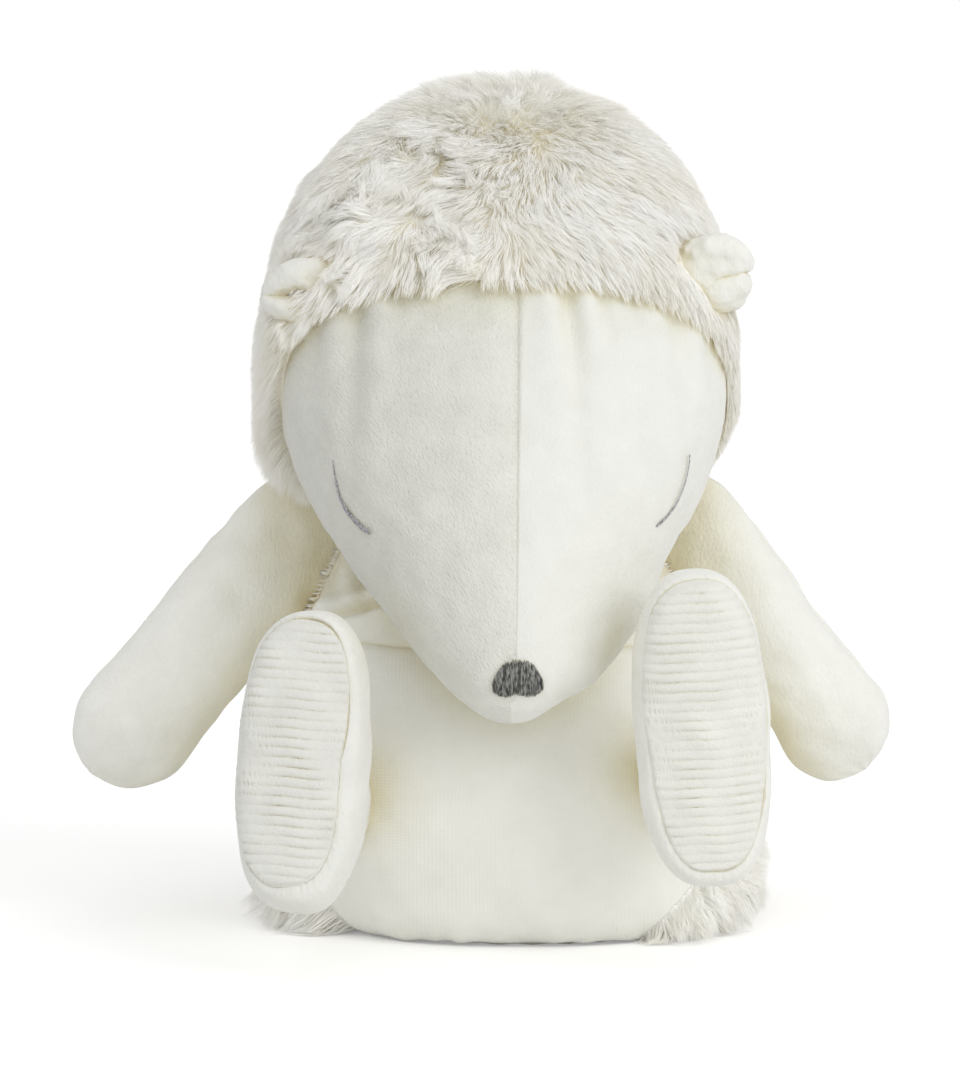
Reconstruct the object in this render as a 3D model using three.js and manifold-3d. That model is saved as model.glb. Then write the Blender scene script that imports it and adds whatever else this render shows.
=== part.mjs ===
// Plush hedgehog, seated, its head bowed over its chest and both soles facing forward.
// Millimetres. X runs across the toy, -Y is forward, Z is up, and the origin is the
// middle of the flat base. Left is the -X side. The pile of the fur is left out, except
// for the packed mat at its foot.

import * as THREE from 'three';
import { mergeVertices } from 'three/addons/utils/BufferGeometryUtils.js';
import Module from 'manifold-3d';

const wasm = await Module();
wasm.setup();

// Cloth and seams

const velour_thickness = 2.4;
const fur_mat_thickness = 4.5;
const base_cloth_thickness = 2.2;
const pouch_cloth_thickness = 1;
const seam_gap = 0.3;
const filling_gap = 0.3;
const stitch_gap = 0.3;
const running_gap = 0.6;
const cut_overrun = 40;

// Torso

const torso_height = 149;
const torso_half_width = 69.5;
const belly_depth = 73;
const back_depth = 69;
const torso_lean = 10.5;
const torso_base_shift = 2;
const chest_seam_height = 92;
const side_seam_forward = 9;
const base_side_inset = 15.5;
const base_end_inset = 20;
const base_half_width = torso_half_width - base_side_inset;
const base_half_depth = belly_depth - base_end_inset;
const corner_roll_start = 36;
const corner_roll_slope_deg = 46;
const pouch_inset = 8.5;
const pouch_half_width = base_half_width - pouch_inset;
const pouch_half_depth = base_half_depth - pouch_inset;
const pouch_height = 26;
const pouch_lift = 4;
const pouch_seat_share = 0.7;

// Head. The nod centre is the middle of the skull, which turns in a hollow at the top
// of the torso.

const head_length = 217;
const head_half_height = 89;
const head_half_width = 68.5;
const skull_centre_along = 57.7;
const skull_centre_up = 30;
const head_pitch_deg = 31.2;
const head_yaw_deg = 1.7;
const nod_centre_x = -5.5;
const nod_centre_forward = -5;
const nod_centre_rise = 47;
const nod_centre_height = torso_height + nod_centre_rise;
const sweep_front_deg = 20;
const sweep_back_deg = 100;
const hood_seam_along = 106;
const face_seam_offset = 3.8;
const nose_offset = 1.8;
const chin_gusset_half_width = 31;
const chin_gusset_tip_half_width = 5;
const chin_gusset_nose_inset = 18;
const chin_gusset_end = head_length - chin_gusset_nose_inset;
const chin_gusset_top = -6;

// Ears

const ear_width = 28;
const ear_height = 19;
const ear_cup_depth = 7;
const ear_layer_thickness = 1.7;
const ear_fold = 5;
const ear_poses = {
	left: { behind_seam: 6.6, across_share: - 0.865, up_share: 0.7 },
	right: { behind_seam: 9.4, across_share: 0.868, up_share: 0.76 }
};
const ear_splay_deg = 38;

// Stitched nose and eyes

const nose_width = 14.5;
const nose_height = 11.5;
const nose_notch = 1.6;
const nose_stitch_height = 1.3;
const nose_rise = 2.7;
const nose_reach = 20;
const nose_corner_share = 0.36;
const nose_cheek_share = 0.52;
const nose_lobe_share = 0.24;
const nose_notch_share = 0.08;
const eye_side_inset = 16.5;
const eye_along_share = 0.4286;
const eye_length = 21.5;
const eye_bow = 2.5;
const eye_slant = 11;
const eye_line_width = 1.9;
const eye_line_tip_width = 0.9;
const eye_stitch_height = 1;
const eye_reach = 27;

// Arms

const arm_length = 103;
const arm_half_width = 24;
const arm_half_depth = 16.5;
const arm_seam_half_length = 33;
const arm_seam_radius = 10;
const arm_swing_forward_deg = 8;
const arm_poses = {
	left: {
		side_inset: 3, shoulder_drop: 24, direction_deg: 40.7, seam_tilt_deg: 15.9,
		girth_share: 1.06, length_share: 1.02
	},
	right: {
		side_inset: 16.3, shoulder_drop: 24, direction_deg: 36.2, seam_tilt_deg: 20.9,
		girth_share: 0.96, length_share: 0.94
	}
};
const arm_root_forward = 2;
const arm_seam_drop = 10;
const arm_hood_gap = 1.2;

// Legs and feet

const leg_length = 65;
const foot_half_width = 20;
const foot_half_height = 45.5;
const foot_rise = 21;
const hip_radius = 15.5;
const ankle_set = 13;
const sole_depth = 7;
const ankle_seam_along = hip_radius + ankle_set;
const sole_seam_along = leg_length - sole_depth;
const leg_poses = {
	left: {
		side_inset: 9, hip_height: 44, belly_inset: 12, splay_deg: 3.8, lean_deg: 3, tilt_deg: 13,
		girth_share: 1, height_share: 1
	},
	right: {
		side_inset: 17, hip_height: 54, belly_inset: 10.5, splay_deg: 2.5, lean_deg: - 4, tilt_deg: - 3,
		girth_share: 1.03, height_share: 1.05
	}
};

// Facets of the forms, round them and along them

const head_facets = 24;
const head_rings = 18;
const sweep_facets = 96;
const sweep_rings = 60;
const torso_facets = 24;
const arm_facets = 12;
const arm_rings = 11;
const leg_facets = 14;

// Section tables, as shares of the sizes above: station along the form, half width,
// the section's extent on its two sides, and the roundness of its outline, 2 for an
// ellipse and more for a squarer one.

const torso_section_shares = [
	[ - 0.06, 0, 0.055, 0.058, 2.2 ],
	[ - 0.047, 0.547, 0.548, - 0.522, 2.2 ],
	[ - 0.02, 0.748, 0.726, - 0.725, 2.3 ],
	[ 0, 0.842, 0.808, - 0.812, 2.4 ],
	[ 0.034, 0.928, 0.897, - 0.899, 2.4 ],
	[ 0.094, 0.978, 0.959, - 0.964, 2.4 ],
	[ 0.235, 1, 1, - 1, 2.4 ],
	[ 0.403, 0.993, 0.959, - 0.986, 2.4 ],
	[ 0.557, 0.942, 0.795, - 0.928, 2.4 ],
	[ 0.664, 0.878, 0.616, - 0.826, 2.4 ],
	[ 0.765, 0.799, 0.425, - 0.696, 2.4 ],
	[ 0.859, 0.691, 0.247, - 0.536, 2.3 ],
	[ 0.926, 0.532, 0.123, - 0.391, 2.2 ],
	[ 0.973, 0.331, 0.027, - 0.246, 2.1 ],
	[ 1, 0, - 0.096, - 0.101, 2 ]
];

const head_section_shares = [
	[ - 0.002, 0, 0.315, 0.315, 2 ],
	[ 0.009, 0.277, 0.506, 0.124, 2 ],
	[ 0.041, 0.54, 0.702, - 0.067, 2.1 ],
	[ 0.111, 0.774, 0.888, - 0.225, 2.2 ],
	[ 0.194, 0.898, 0.978, - 0.331, 2.3 ],
	[ 0.276, 0.956, 1, - 0.36, 2.4 ],
	[ 0.369, 0.985, 0.949, - 0.315, 2.5 ],
	[ 0.452, 1, 0.854, - 0.236, 2.6 ],
	[ 0.516, 0.985, 0.764, - 0.202, 2.6 ],
	[ 0.613, 0.905, 0.68, - 0.202, 2.5 ],
	[ 0.728, 0.737, 0.545, - 0.225, 2.3 ],
	[ 0.839, 0.518, 0.371, - 0.247, 2.2 ],
	[ 0.917, 0.343, 0.225, - 0.247, 2.1 ],
	[ 0.963, 0.226, 0.124, - 0.219, 2.1 ],
	[ 0.989, 0.139, 0.045, - 0.163, 2 ],
	[ 1, 0, - 0.062, - 0.062, 2 ]
];

const arm_section_shares = [
	[ - 0.16, 0, 0, 0, 2 ],
	[ - 0.13, 0.44, 0.26, - 0.26, 2 ],
	[ - 0.06, 0.7, 0.47, - 0.47, 2.1 ],
	[ 0.03, 0.81, 0.62, - 0.62, 2.2 ],
	[ 0.13, 0.83, 0.77, - 0.77, 2.2 ],
	[ 0.28, 0.83, 0.92, - 0.92, 2.2 ],
	[ 0.48, 0.8, 1, - 1, 2.2 ],
	[ 0.68, 0.8, 1, - 1, 2.2 ],
	[ 0.83, 0.79, 0.95, - 0.95, 2.1 ],
	[ 0.93, 0.6, 0.7, - 0.7, 2.1 ],
	[ 0.98, 0.33, 0.38, - 0.38, 2 ],
	[ 1, 0, 0, 0, 2 ]
];

// Legs: station, half width, top, bottom, roundness and the share of the rise.

const foot_section_shares = [
	[ 0.3, 0.86, 0.38, - 0.38, 2, 0.3 ],
	[ 0.41, 0.87, 0.5, - 0.46, 2.1, 0.62 ],
	[ 0.5, 0.9, 0.73, - 0.71, 2.3, 0.92 ],
	[ 0.61, 0.98, 0.95, - 0.96, 2.5, 1 ],
	[ 0.75, 1, 1, - 1, 2.6, 1 ],
	[ 0.88, 0.94, 0.965, - 0.96, 2.6, 1 ],
	[ 0.95, 0.8, 0.88, - 0.87, 2.5, 1 ],
	[ 0.985, 0.46, 0.6, - 0.6, 2.1, 1 ],
	[ 1, 0, 0, 0, 2, 1 ]
];
const foot_middle_share = 0.75;
const foot_begins_share = 0.6;
const hip_ball_shares = [ - 1, - 0.9, - 0.62, - 0.2, 0.2 ];

const arm_seam_profile_shares = [
	[ - 1.2, 0 ], [ - 1, 0.55 ], [ - 0.6, 0.87 ], [ 0, 1 ], [ 0.45, 0.9 ], [ 0.75, 0.6 ], [ 0.88, 0 ]
];

// Form builder. A form is a closed surface through sections that stand across a
// straight line, with a rounded pole at each end.

const deg = Math.PI / 180;

function splineRow( rows, position ) {

	const last = rows.length - 1;
	const i = Math.min( Math.floor( position ), last - 1 );
	const t = position - i;
	// Beyond a pole the form is mirrored, which rounds it there.
	const mirror = ( pole, next ) => [
		next[ 0 ], - next[ 1 ], 2 * pole[ 2 ] - next[ 2 ], 2 * pole[ 3 ] - next[ 3 ], ...next.slice( 4 )
	];
	const p1 = rows[ i ], p2 = rows[ i + 1 ];
	const p0 = i > 0 ? rows[ i - 1 ] : mirror( p1, p2 );
	const p3 = i + 2 <= last ? rows[ i + 2 ] : mirror( p2, p1 );
	const h = [
		t * ( - 0.5 + t - 0.5 * t * t ),
		1 + t * t * ( - 2.5 + 1.5 * t ),
		t * ( 0.5 + 2 * t - 1.5 * t * t ),
		t * t * ( - 0.5 + 0.5 * t )
	];
	return p1.map( ( v, k ) => h[ 0 ] * p0[ k ] + h[ 1 ] * v + h[ 2 ] * p2[ k ] + h[ 3 ] * p3[ k ] );

}

function formGeometry( rows, around, rings, frame ) {

	const positions = [];
	const indices = [];
	const { origin, across, upward, along } = frame;
	const point = ( row, angle ) => {

		const [ station, half, top, bottom, roundness, , shift = 0 ] = row;
		const c = Math.cos( angle ), s = Math.sin( angle );
		const power = 2 / roundness;
		const x = shift + half * Math.sign( c ) * Math.abs( c ) ** power;
		const y = ( top + bottom ) / 2 + ( top - bottom ) / 2 * Math.sign( s ) * Math.abs( s ) ** power;
		const p = origin.clone().addScaledVector( along, station );
		p.addScaledVector( across, x ).addScaledVector( upward, y );
		positions.push( p.x, p.y, p.z );

	};

	point( rows[ 0 ].with( 1, 0 ), 0 );
	for ( let i = 1; i < rings; i ++ ) {

		const row = splineRow( rows, i / rings * ( rows.length - 1 ) );
		for ( let j = 0; j < around; j ++ ) point( row, 2 * Math.PI * ( j + 0.5 ) / around );

	}

	point( rows[ rows.length - 1 ].with( 1, 0 ), 0 );

	const ring = ( i, j ) => 1 + ( i - 1 ) * around + ( j % around );
	const end = positions.length / 3 - 1;
	const flip = new THREE.Vector3().crossVectors( across, upward ).dot( along ) < 0;
	const face = ( a, b, c ) => flip ? indices.push( a, c, b ) : indices.push( a, b, c );
	for ( let j = 0; j < around; j ++ ) {

		face( 0, ring( 1, j + 1 ), ring( 1, j ) );
		for ( let i = 1; i < rings - 1; i ++ ) {

			face( ring( i, j ), ring( i, j + 1 ), ring( i + 1, j ) );
			face( ring( i, j + 1 ), ring( i + 1, j + 1 ), ring( i + 1, j ) );

		}

		face( ring( rings - 1, j ), ring( rings - 1, j + 1 ), end );

	}

	const geometry = new THREE.BufferGeometry();
	geometry.setAttribute( 'position', new THREE.Float32BufferAttribute( positions, 3 ) );
	geometry.setIndex( indices );
	return geometry;

}

// The same form with its surface moved along its normals.

function offsetForm( geometry, distance ) {

	const moved = geometry.clone();
	moved.computeVertexNormals();
	const p = moved.attributes.position, n = moved.attributes.normal;
	for ( let i = 0; i < p.count; i ++ ) {

		p.setXYZ( i, p.getX( i ) + n.getX( i ) * distance, p.getY( i ) + n.getY( i ) * distance,
			p.getZ( i ) + n.getZ( i ) * distance );

	}

	moved.deleteAttribute( 'normal' );
	return moved;

}

function solidOf( geometry, group = null ) {

	let plain = geometry.clone();
	plain.deleteAttribute( 'normal' );
	plain.deleteAttribute( 'uv' );
	if ( group ) plain.applyMatrix4( group.matrix );
	plain = mergeVertices( plain, 1e-5 );
	return new wasm.Manifold( new wasm.Mesh( {
		numProp: 3,
		vertProperties: new Float32Array( plain.attributes.position.array ),
		triVerts: new Uint32Array( plain.index.array )
	} ) );

}

function geometryOf( solid ) {

	const mesh = solid.getMesh();
	const positions = new Float32Array( mesh.numVert * 3 );
	for ( let i = 0; i < mesh.numVert; i ++ ) {

		for ( let k = 0; k < 3; k ++ ) positions[ 3 * i + k ] = mesh.vertProperties[ mesh.numProp * i + k ];

	}

	const geometry = new THREE.BufferGeometry();
	geometry.setAttribute( 'position', new THREE.BufferAttribute( positions, 3 ) );
	geometry.setIndex( new THREE.BufferAttribute( new Uint32Array( mesh.triVerts ), 1 ) );
	geometry.computeVertexNormals();
	return geometry;

}

// A solid made in a group's frame, placed in the frame that holds the group.

function inTorso( solid, group ) {

	return solidOf( geometryOf( solid ), group );

}

// Cutting blocks

function block( x0, x1, y0, y1, z0, z1 ) {

	const box = new THREE.BoxGeometry( x1 - x0, y1 - y0, z1 - z0 );
	box.translate( ( x0 + x1 ) / 2, ( y0 + y1 ) / 2, ( z0 + z1 ) / 2 );
	return box;

}

function turned( geometry, axis, angle, at = new THREE.Vector3() ) {

	geometry.translate( - at.x, - at.y, - at.z );
	geometry.applyMatrix4( new THREE.Matrix4().makeRotationAxis( axis, angle ) );
	return geometry.translate( at.x, at.y, at.z );

}

// A turned profile about Z, given as pairs of height and radius.

function spindle( profile, segments ) {

	const smooth = new THREE.SplineCurve( profile.map( ( [ height, radius ] ) =>
		new THREE.Vector2( radius, height ) ) ).getPoints( profile.length + 1 );
	smooth[ 0 ].x = 0;
	smooth[ smooth.length - 1 ].x = 0;
	const points = smooth.map( ( p ) => new THREE.Vector2( Math.max( p.x, 0 ), p.y ) );
	const lathe = new THREE.LatheGeometry( points, segments );
	return lathe.rotateX( Math.PI / 2 );

}

// Materials

const cloth = ( color, roughness ) => new THREE.MeshStandardMaterial( { color, roughness, metalness: 0 } );
const velour = cloth( 0xeeede6, 0.95 );
const velour_shade = cloth( 0xe2e0d6, 0.95 );
const fur = cloth( 0xe8e7df, 1 );
const knit = cloth( 0xefeee6, 0.9 );
const grey_thread = cloth( 0x5a5a55, 0.55 );
const lilac_thread = cloth( 0x908d92, 0.6 );
const filling = cloth( 0xf5f5f2, 1 );
const lining = cloth( 0xd9d6ca, 0.95 );
const pellets = cloth( 0xc9c7be, 0.6 );

const hedgehog = new THREE.Group();

function add( name, solid, material, group = hedgehog ) {

	const mesh = new THREE.Mesh( geometryOf( solid ), material.clone() );
	mesh.name = name;
	group.add( mesh );
	return mesh;

}

const X = new THREE.Vector3( 1, 0, 0 );
const Y = new THREE.Vector3( 0, 1, 0 );
const Z = new THREE.Vector3( 0, 0, 1 );
const forward = new THREE.Vector3( 0, - 1, 0 );
const reach = torso_height + head_length;

// Head. Its own frame has the nod centre at the origin and nods about X.

const head = new THREE.Group();
head.position.set( nod_centre_x, - nod_centre_forward, nod_centre_height );
head.rotation.z = head_yaw_deg * deg;
head.updateMatrix();
hedgehog.add( head );

const head_along = forward.clone().applyAxisAngle( X, head_pitch_deg * deg );
const head_up = new THREE.Vector3().crossVectors( head_along, X );
const head_origin = new THREE.Vector3().addScaledVector( head_along, - skull_centre_along )
	.addScaledVector( head_up, - skull_centre_up );
const head_frame = { origin: head_origin, across: X, upward: head_up, along: head_along };
const head_rows = head_section_shares.map( ( [ s, a, top, bottom, roundness ] ) =>
	[ s * head_length, a * head_half_width, top * head_half_height, bottom * head_half_height, roundness ] );
const head_form = formGeometry( head_rows, head_facets, head_rings, head_frame );

const in_head = ( along, across, upward ) => head_origin.clone().addScaledVector( head_along, along )
	.addScaledVector( X, across ).addScaledVector( head_up, upward );

const nose_centre_up = in_head( head_length, 0, 0 ).z + nose_rise;
const nose_begins_forward = - in_head( head_length - nose_reach, 0, 0 ).y;
const eye_middle = in_head( eye_along_share * head_length, 0, 0 );

// A block in the head's own directions: across, along and up.

function headBlock( x0, x1, s0, s1, n0, n1 ) {

	const box = block( x0, x1, - s1, - s0, n0, n1 );
	box.applyMatrix4( new THREE.Matrix4().makeBasis( X, head_along.clone().negate(), head_up ) );
	return box.translate( head_origin.x, head_origin.y, head_origin.z );

}

const head_outer = solidOf( head_form );
const head_furred = solidOf( offsetForm( head_form, fur_mat_thickness - velour_thickness ) );
const head_inner = solidOf( offsetForm( head_form, - velour_thickness ) );
const head_filling = solidOf( offsetForm( head_form, - velour_thickness - filling_gap ) );
add( 'head_stuffing', head_filling, filling, head );

const headSlice = ( from, to ) => solidOf( headBlock( - reach, reach, from, to, - reach, reach ) );
const behind_hood_seam = headSlice( - reach, hood_seam_along - seam_gap / 2 );
const before_hood_seam = headSlice( hood_seam_along + seam_gap / 2, reach );
add( 'head_fur_hood', head_furred.subtract( head_inner ).intersect( behind_hood_seam ), fur, head );

const face_cloth = head_outer.subtract( head_inner ).intersect( before_hood_seam );

// The gusset under the chin narrows from the throat to the nose, with a rounded tip.

function chinCutter( grow ) {

	const outline = new THREE.Shape();
	const w0 = chin_gusset_half_width + grow, w1 = chin_gusset_tip_half_width + grow;
	outline.moveTo( - w0, 0 );
	outline.lineTo( w0, 0 );
	const run = chin_gusset_end - hood_seam_along;
	outline.quadraticCurveTo( w0, run / 2, w1, run );
	outline.absarc( 0, run, w1, 0, Math.PI );
	outline.quadraticCurveTo( - w0, run / 2, - w0, 0 );
	const prism = new THREE.ExtrudeGeometry( outline, { depth: reach, bevelEnabled: false, curveSegments: 6 } );
	// The prism hangs down from the level of the gusset's top, its outline along the head.
	prism.applyMatrix4( new THREE.Matrix4().makeBasis( X, head_along, head_up.clone().negate() ) );
	const at = in_head( hood_seam_along, 0, chin_gusset_top );
	prism.translate( at.x, at.y, at.z );
	return solidOf( flipIfInside( prism ) );

}

// A mirrored placement turns the faces inward, so their order is put back.

function flipIfInside( geometry ) {

	const plain = geometry.index ? geometry.toNonIndexed() : geometry;
	const p = plain.attributes.position;
	const a = new THREE.Vector3(), b = new THREE.Vector3(), c = new THREE.Vector3();
	let volume = 0;
	for ( let i = 0; i < p.count; i += 3 ) {

		volume += a.fromBufferAttribute( p, i ).dot(
			b.fromBufferAttribute( p, i + 1 ).cross( c.fromBufferAttribute( p, i + 2 ) ) );

	}

	if ( volume < 0 ) {

		for ( let i = 0; i < p.count; i += 3 ) {

			b.fromBufferAttribute( p, i + 1 );
			c.fromBufferAttribute( p, i + 2 );
			p.setXYZ( i + 1, c.x, c.y, c.z );
			p.setXYZ( i + 2, b.x, b.y, b.z );

		}

	}

	return plain;

}

add( 'chin_panel', face_cloth.intersect( chinCutter( - seam_gap / 2 ) ), velour_shade, head );
const face_sides = face_cloth.subtract( chinCutter( seam_gap / 2 ) );
for ( const [ name, side ] of [ [ 'left', - 1 ], [ 'right', 1 ] ] ) {

	// The seam runs down the face a little off its middle.
	const half = side < 0
		? headBlock( - reach, - seam_gap / 2, - reach, reach, - reach, reach )
		: headBlock( seam_gap / 2, reach, - reach, reach, - reach, reach );
	const at = in_head( hood_seam_along, 0, 0 );
	const slant = - Math.atan2( face_seam_offset - nose_offset, chin_gusset_end - hood_seam_along );
	turned( half, head_up, slant, at ).translate( face_seam_offset, 0, 0 );
	add( 'face_panel_' + name, face_sides.intersect( solidOf( half ) ), velour, head );

}

// Ears: two nested cups of cloth, folded along a level crease and cut to the hood.

function earSheet( inset, thickness ) {

	const around = 12, rings = 2;
	const positions = [], indices = [];
	const cup = ( share, angle, depth ) => {

		const x = ( ear_width / 2 - inset ) * share * Math.cos( angle );
		const z = ( ear_height / 2 - inset ) * share * Math.sin( angle );
		const crease = ear_fold * Math.exp( - ( ( z / ( ear_height / 4 ) ) ** 2 ) ) * ( 1 - share * share );
		positions.push( x, depth + ear_cup_depth * ( 1 - share * share ) - crease, z );

	};

	for ( const side of [ 0, 1 ] ) {

		cup( 0, 0, side * thickness );
		for ( let i = 1; i <= rings; i ++ ) {

			for ( let j = 0; j < around; j ++ ) cup( i / rings, 2 * Math.PI * j / around, side * thickness );

		}

	}

	const at = ( side, i, j ) => side * ( 1 + rings * around ) + ( i === 0 ? 0 : 1 + ( i - 1 ) * around + j % around );
	for ( let j = 0; j < around; j ++ ) {

		indices.push( at( 0, 0, 0 ), at( 0, 1, j ), at( 0, 1, j + 1 ) );
		indices.push( at( 1, 0, 0 ), at( 1, 1, j + 1 ), at( 1, 1, j ) );
		for ( let i = 1; i < rings; i ++ ) {

			indices.push( at( 0, i, j ), at( 0, i + 1, j ), at( 0, i, j + 1 ) );
			indices.push( at( 0, i, j + 1 ), at( 0, i + 1, j ), at( 0, i + 1, j + 1 ) );
			indices.push( at( 1, i, j ), at( 1, i, j + 1 ), at( 1, i + 1, j ) );
			indices.push( at( 1, i, j + 1 ), at( 1, i + 1, j + 1 ), at( 1, i + 1, j ) );

		}

		indices.push( at( 0, rings, j ), at( 1, rings, j ), at( 0, rings, j + 1 ) );
		indices.push( at( 0, rings, j + 1 ), at( 1, rings, j ), at( 1, rings, j + 1 ) );

	}

	const geometry = new THREE.BufferGeometry();
	geometry.setAttribute( 'position', new THREE.Float32BufferAttribute( positions, 3 ) );
	geometry.setIndex( indices );
	return flipIfInside( geometry );

}

const head_clear = solidOf( offsetForm( head_form, fur_mat_thickness - velour_thickness + seam_gap ) );
for ( const [ name, side ] of [ [ 'left', - 1 ], [ 'right', 1 ] ] ) {

	for ( const [ layer, inset, lift ] of [
		[ 'outer', 0, ear_layer_thickness + seam_gap ], [ 'inner', ear_layer_thickness / 2, 0 ] ] ) {

		const sheet = earSheet( inset, ear_layer_thickness );
		sheet.translate( side * ear_width / 4, lift, 0 );
		turned( sheet, Z, side * ear_splay_deg * deg );
		const { behind_seam, across_share, up_share } = ear_poses[ name ];
		const across = across_share * head_half_width, up = up_share * head_half_height;
		const root = in_head( hood_seam_along - behind_seam, across, up );
		sheet.translate( root.x, root.y, root.z );
		add( 'ear_' + name + '_' + layer, solidOf( sheet ).subtract( head_clear ), velour, head );

	}

}

// Stitched nose and eyes lie on the face and follow its surface.

function onFace( outline, height, from = 0 ) {

	const prism = new THREE.ExtrudeGeometry( outline, { depth: reach, bevelEnabled: false, curveSegments: 4 } );
	prism.rotateX( Math.PI / 2 ).translate( 0, - from, 0 );
	const pad = solidOf( offsetForm( head_form, stitch_gap + height ) )
		.subtract( solidOf( offsetForm( head_form, stitch_gap ) ) );
	return pad.intersect( solidOf( prism ) );

}

const nose = new THREE.Shape();
const nose_top = nose_centre_up + nose_height / 2, nose_foot = nose_centre_up - nose_height / 2;
nose.moveTo( - nose_width * nose_corner_share, nose_top );
nose.lineTo( nose_width * nose_corner_share, nose_top );
nose.quadraticCurveTo( nose_width * nose_cheek_share, nose_top, nose_width / 2, nose_centre_up );
nose.quadraticCurveTo( nose_width / 2, nose_foot, nose_width * nose_lobe_share, nose_foot );
nose.quadraticCurveTo( nose_width * nose_notch_share, nose_foot, 0, nose_foot + nose_notch );
nose.quadraticCurveTo( - nose_width * nose_notch_share, nose_foot, - nose_width * nose_lobe_share, nose_foot );
nose.quadraticCurveTo( - nose_width / 2, nose_foot, - nose_width / 2, nose_centre_up );
nose.quadraticCurveTo( - nose_width * nose_cheek_share, nose_top, - nose_width * nose_corner_share, nose_top );
const nose_points = nose.getPoints( 4 ).map( ( p ) => new THREE.Vector2( p.x + nose_offset, p.y ) );
const nose_pad = onFace( new THREE.Shape( nose_points ), nose_stitch_height, nose_begins_forward );
add( 'nose_embroidery', nose_pad, grey_thread, head );

for ( const [ name, side ] of [ [ 'left', - 1 ], [ 'right', 1 ] ] ) {

	const edge = [];
	const eye_offset_x = head_half_width - eye_side_inset;
	const steps = 7;
	const line = ( t, half ) => new THREE.Vector2(
		side * ( eye_offset_x - eye_slant * t + eye_bow * 4 * t * ( 1 - t ) + half ) + nose_offset,
		eye_middle.z - eye_length * t );
	const half = ( t ) => ( eye_line_tip_width + ( eye_line_width - eye_line_tip_width ) * t ) / 2;
	for ( let i = 0; i <= steps; i ++ ) edge.push( line( i / steps, half( i / steps ) ) );
	for ( let i = steps; i >= 0; i -- ) edge.push( line( i / steps, - half( i / steps ) ) );
	const eye_pad = onFace( new THREE.Shape( edge ), eye_stitch_height, eye_reach - eye_middle.y );
	add( 'eye_stitch_' + name, eye_pad, lilac_thread, head );

}

// Arms. Each frame stands at the middle of its seam, with Z up the seam line, about
// which it swings, X outward and Y back.

const limbs = {};

// The space that the hood sweeps as the head nods. It is turned about the nod axis: at
// each distance across, its radius is the hood's largest there, from the throat round
// to the back of the skull.

const hood_form = formGeometry( head_rows, sweep_facets, sweep_rings, head_frame );
const hood_surface = offsetForm( hood_form, fur_mat_thickness - velour_thickness ).attributes.position;
const sweep_slots = 13;
const sweep_radii = new Array( sweep_slots + 1 ).fill( 0 );
const sweep_half_width = head_half_width + fur_mat_thickness - velour_thickness;
for ( let i = 0; i < hood_surface.count; i ++ ) {

	const y = hood_surface.getY( i ), z = hood_surface.getZ( i );
	const angle = Math.atan2( y, - z ) / deg;
	if ( angle < - sweep_front_deg || angle > sweep_back_deg ) continue;
	const place = Math.abs( hood_surface.getX( i ) ) / sweep_half_width;
	const slot = Math.min( Math.floor( place * sweep_slots ), sweep_slots - 1 );
	for ( const k of [ slot, slot + 1 ] ) sweep_radii[ k ] = Math.max( sweep_radii[ k ], Math.hypot( y, z ) );

}

function hoodSweep( grow, group = null ) {

	const turns = 28;
	const facet = 1 / Math.cos( Math.PI / turns );
	const side = sweep_radii.map( ( r, k ) =>
		new THREE.Vector2( ( r + grow ) * facet, k / sweep_slots * sweep_half_width ) );
	const cap = new THREE.Vector2( 0, sweep_half_width + grow );
	const profile = [ cap, ...side.slice( 1 ).reverse(), side[ 0 ], ...side.slice( 1 ).map( ( p ) =>
		new THREE.Vector2( p.x, - p.y ) ), new THREE.Vector2( 0, - cap.y ) ];
	const sweep = new THREE.LatheGeometry( profile.reverse(), turns );
	sweep.rotateZ( - Math.PI / 2 );
	sweep.applyMatrix4( head.matrix );
	if ( group ) sweep.applyMatrix4( group.matrix.clone().invert() );
	return solidOf( flipIfInside( sweep ) );

}

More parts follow.
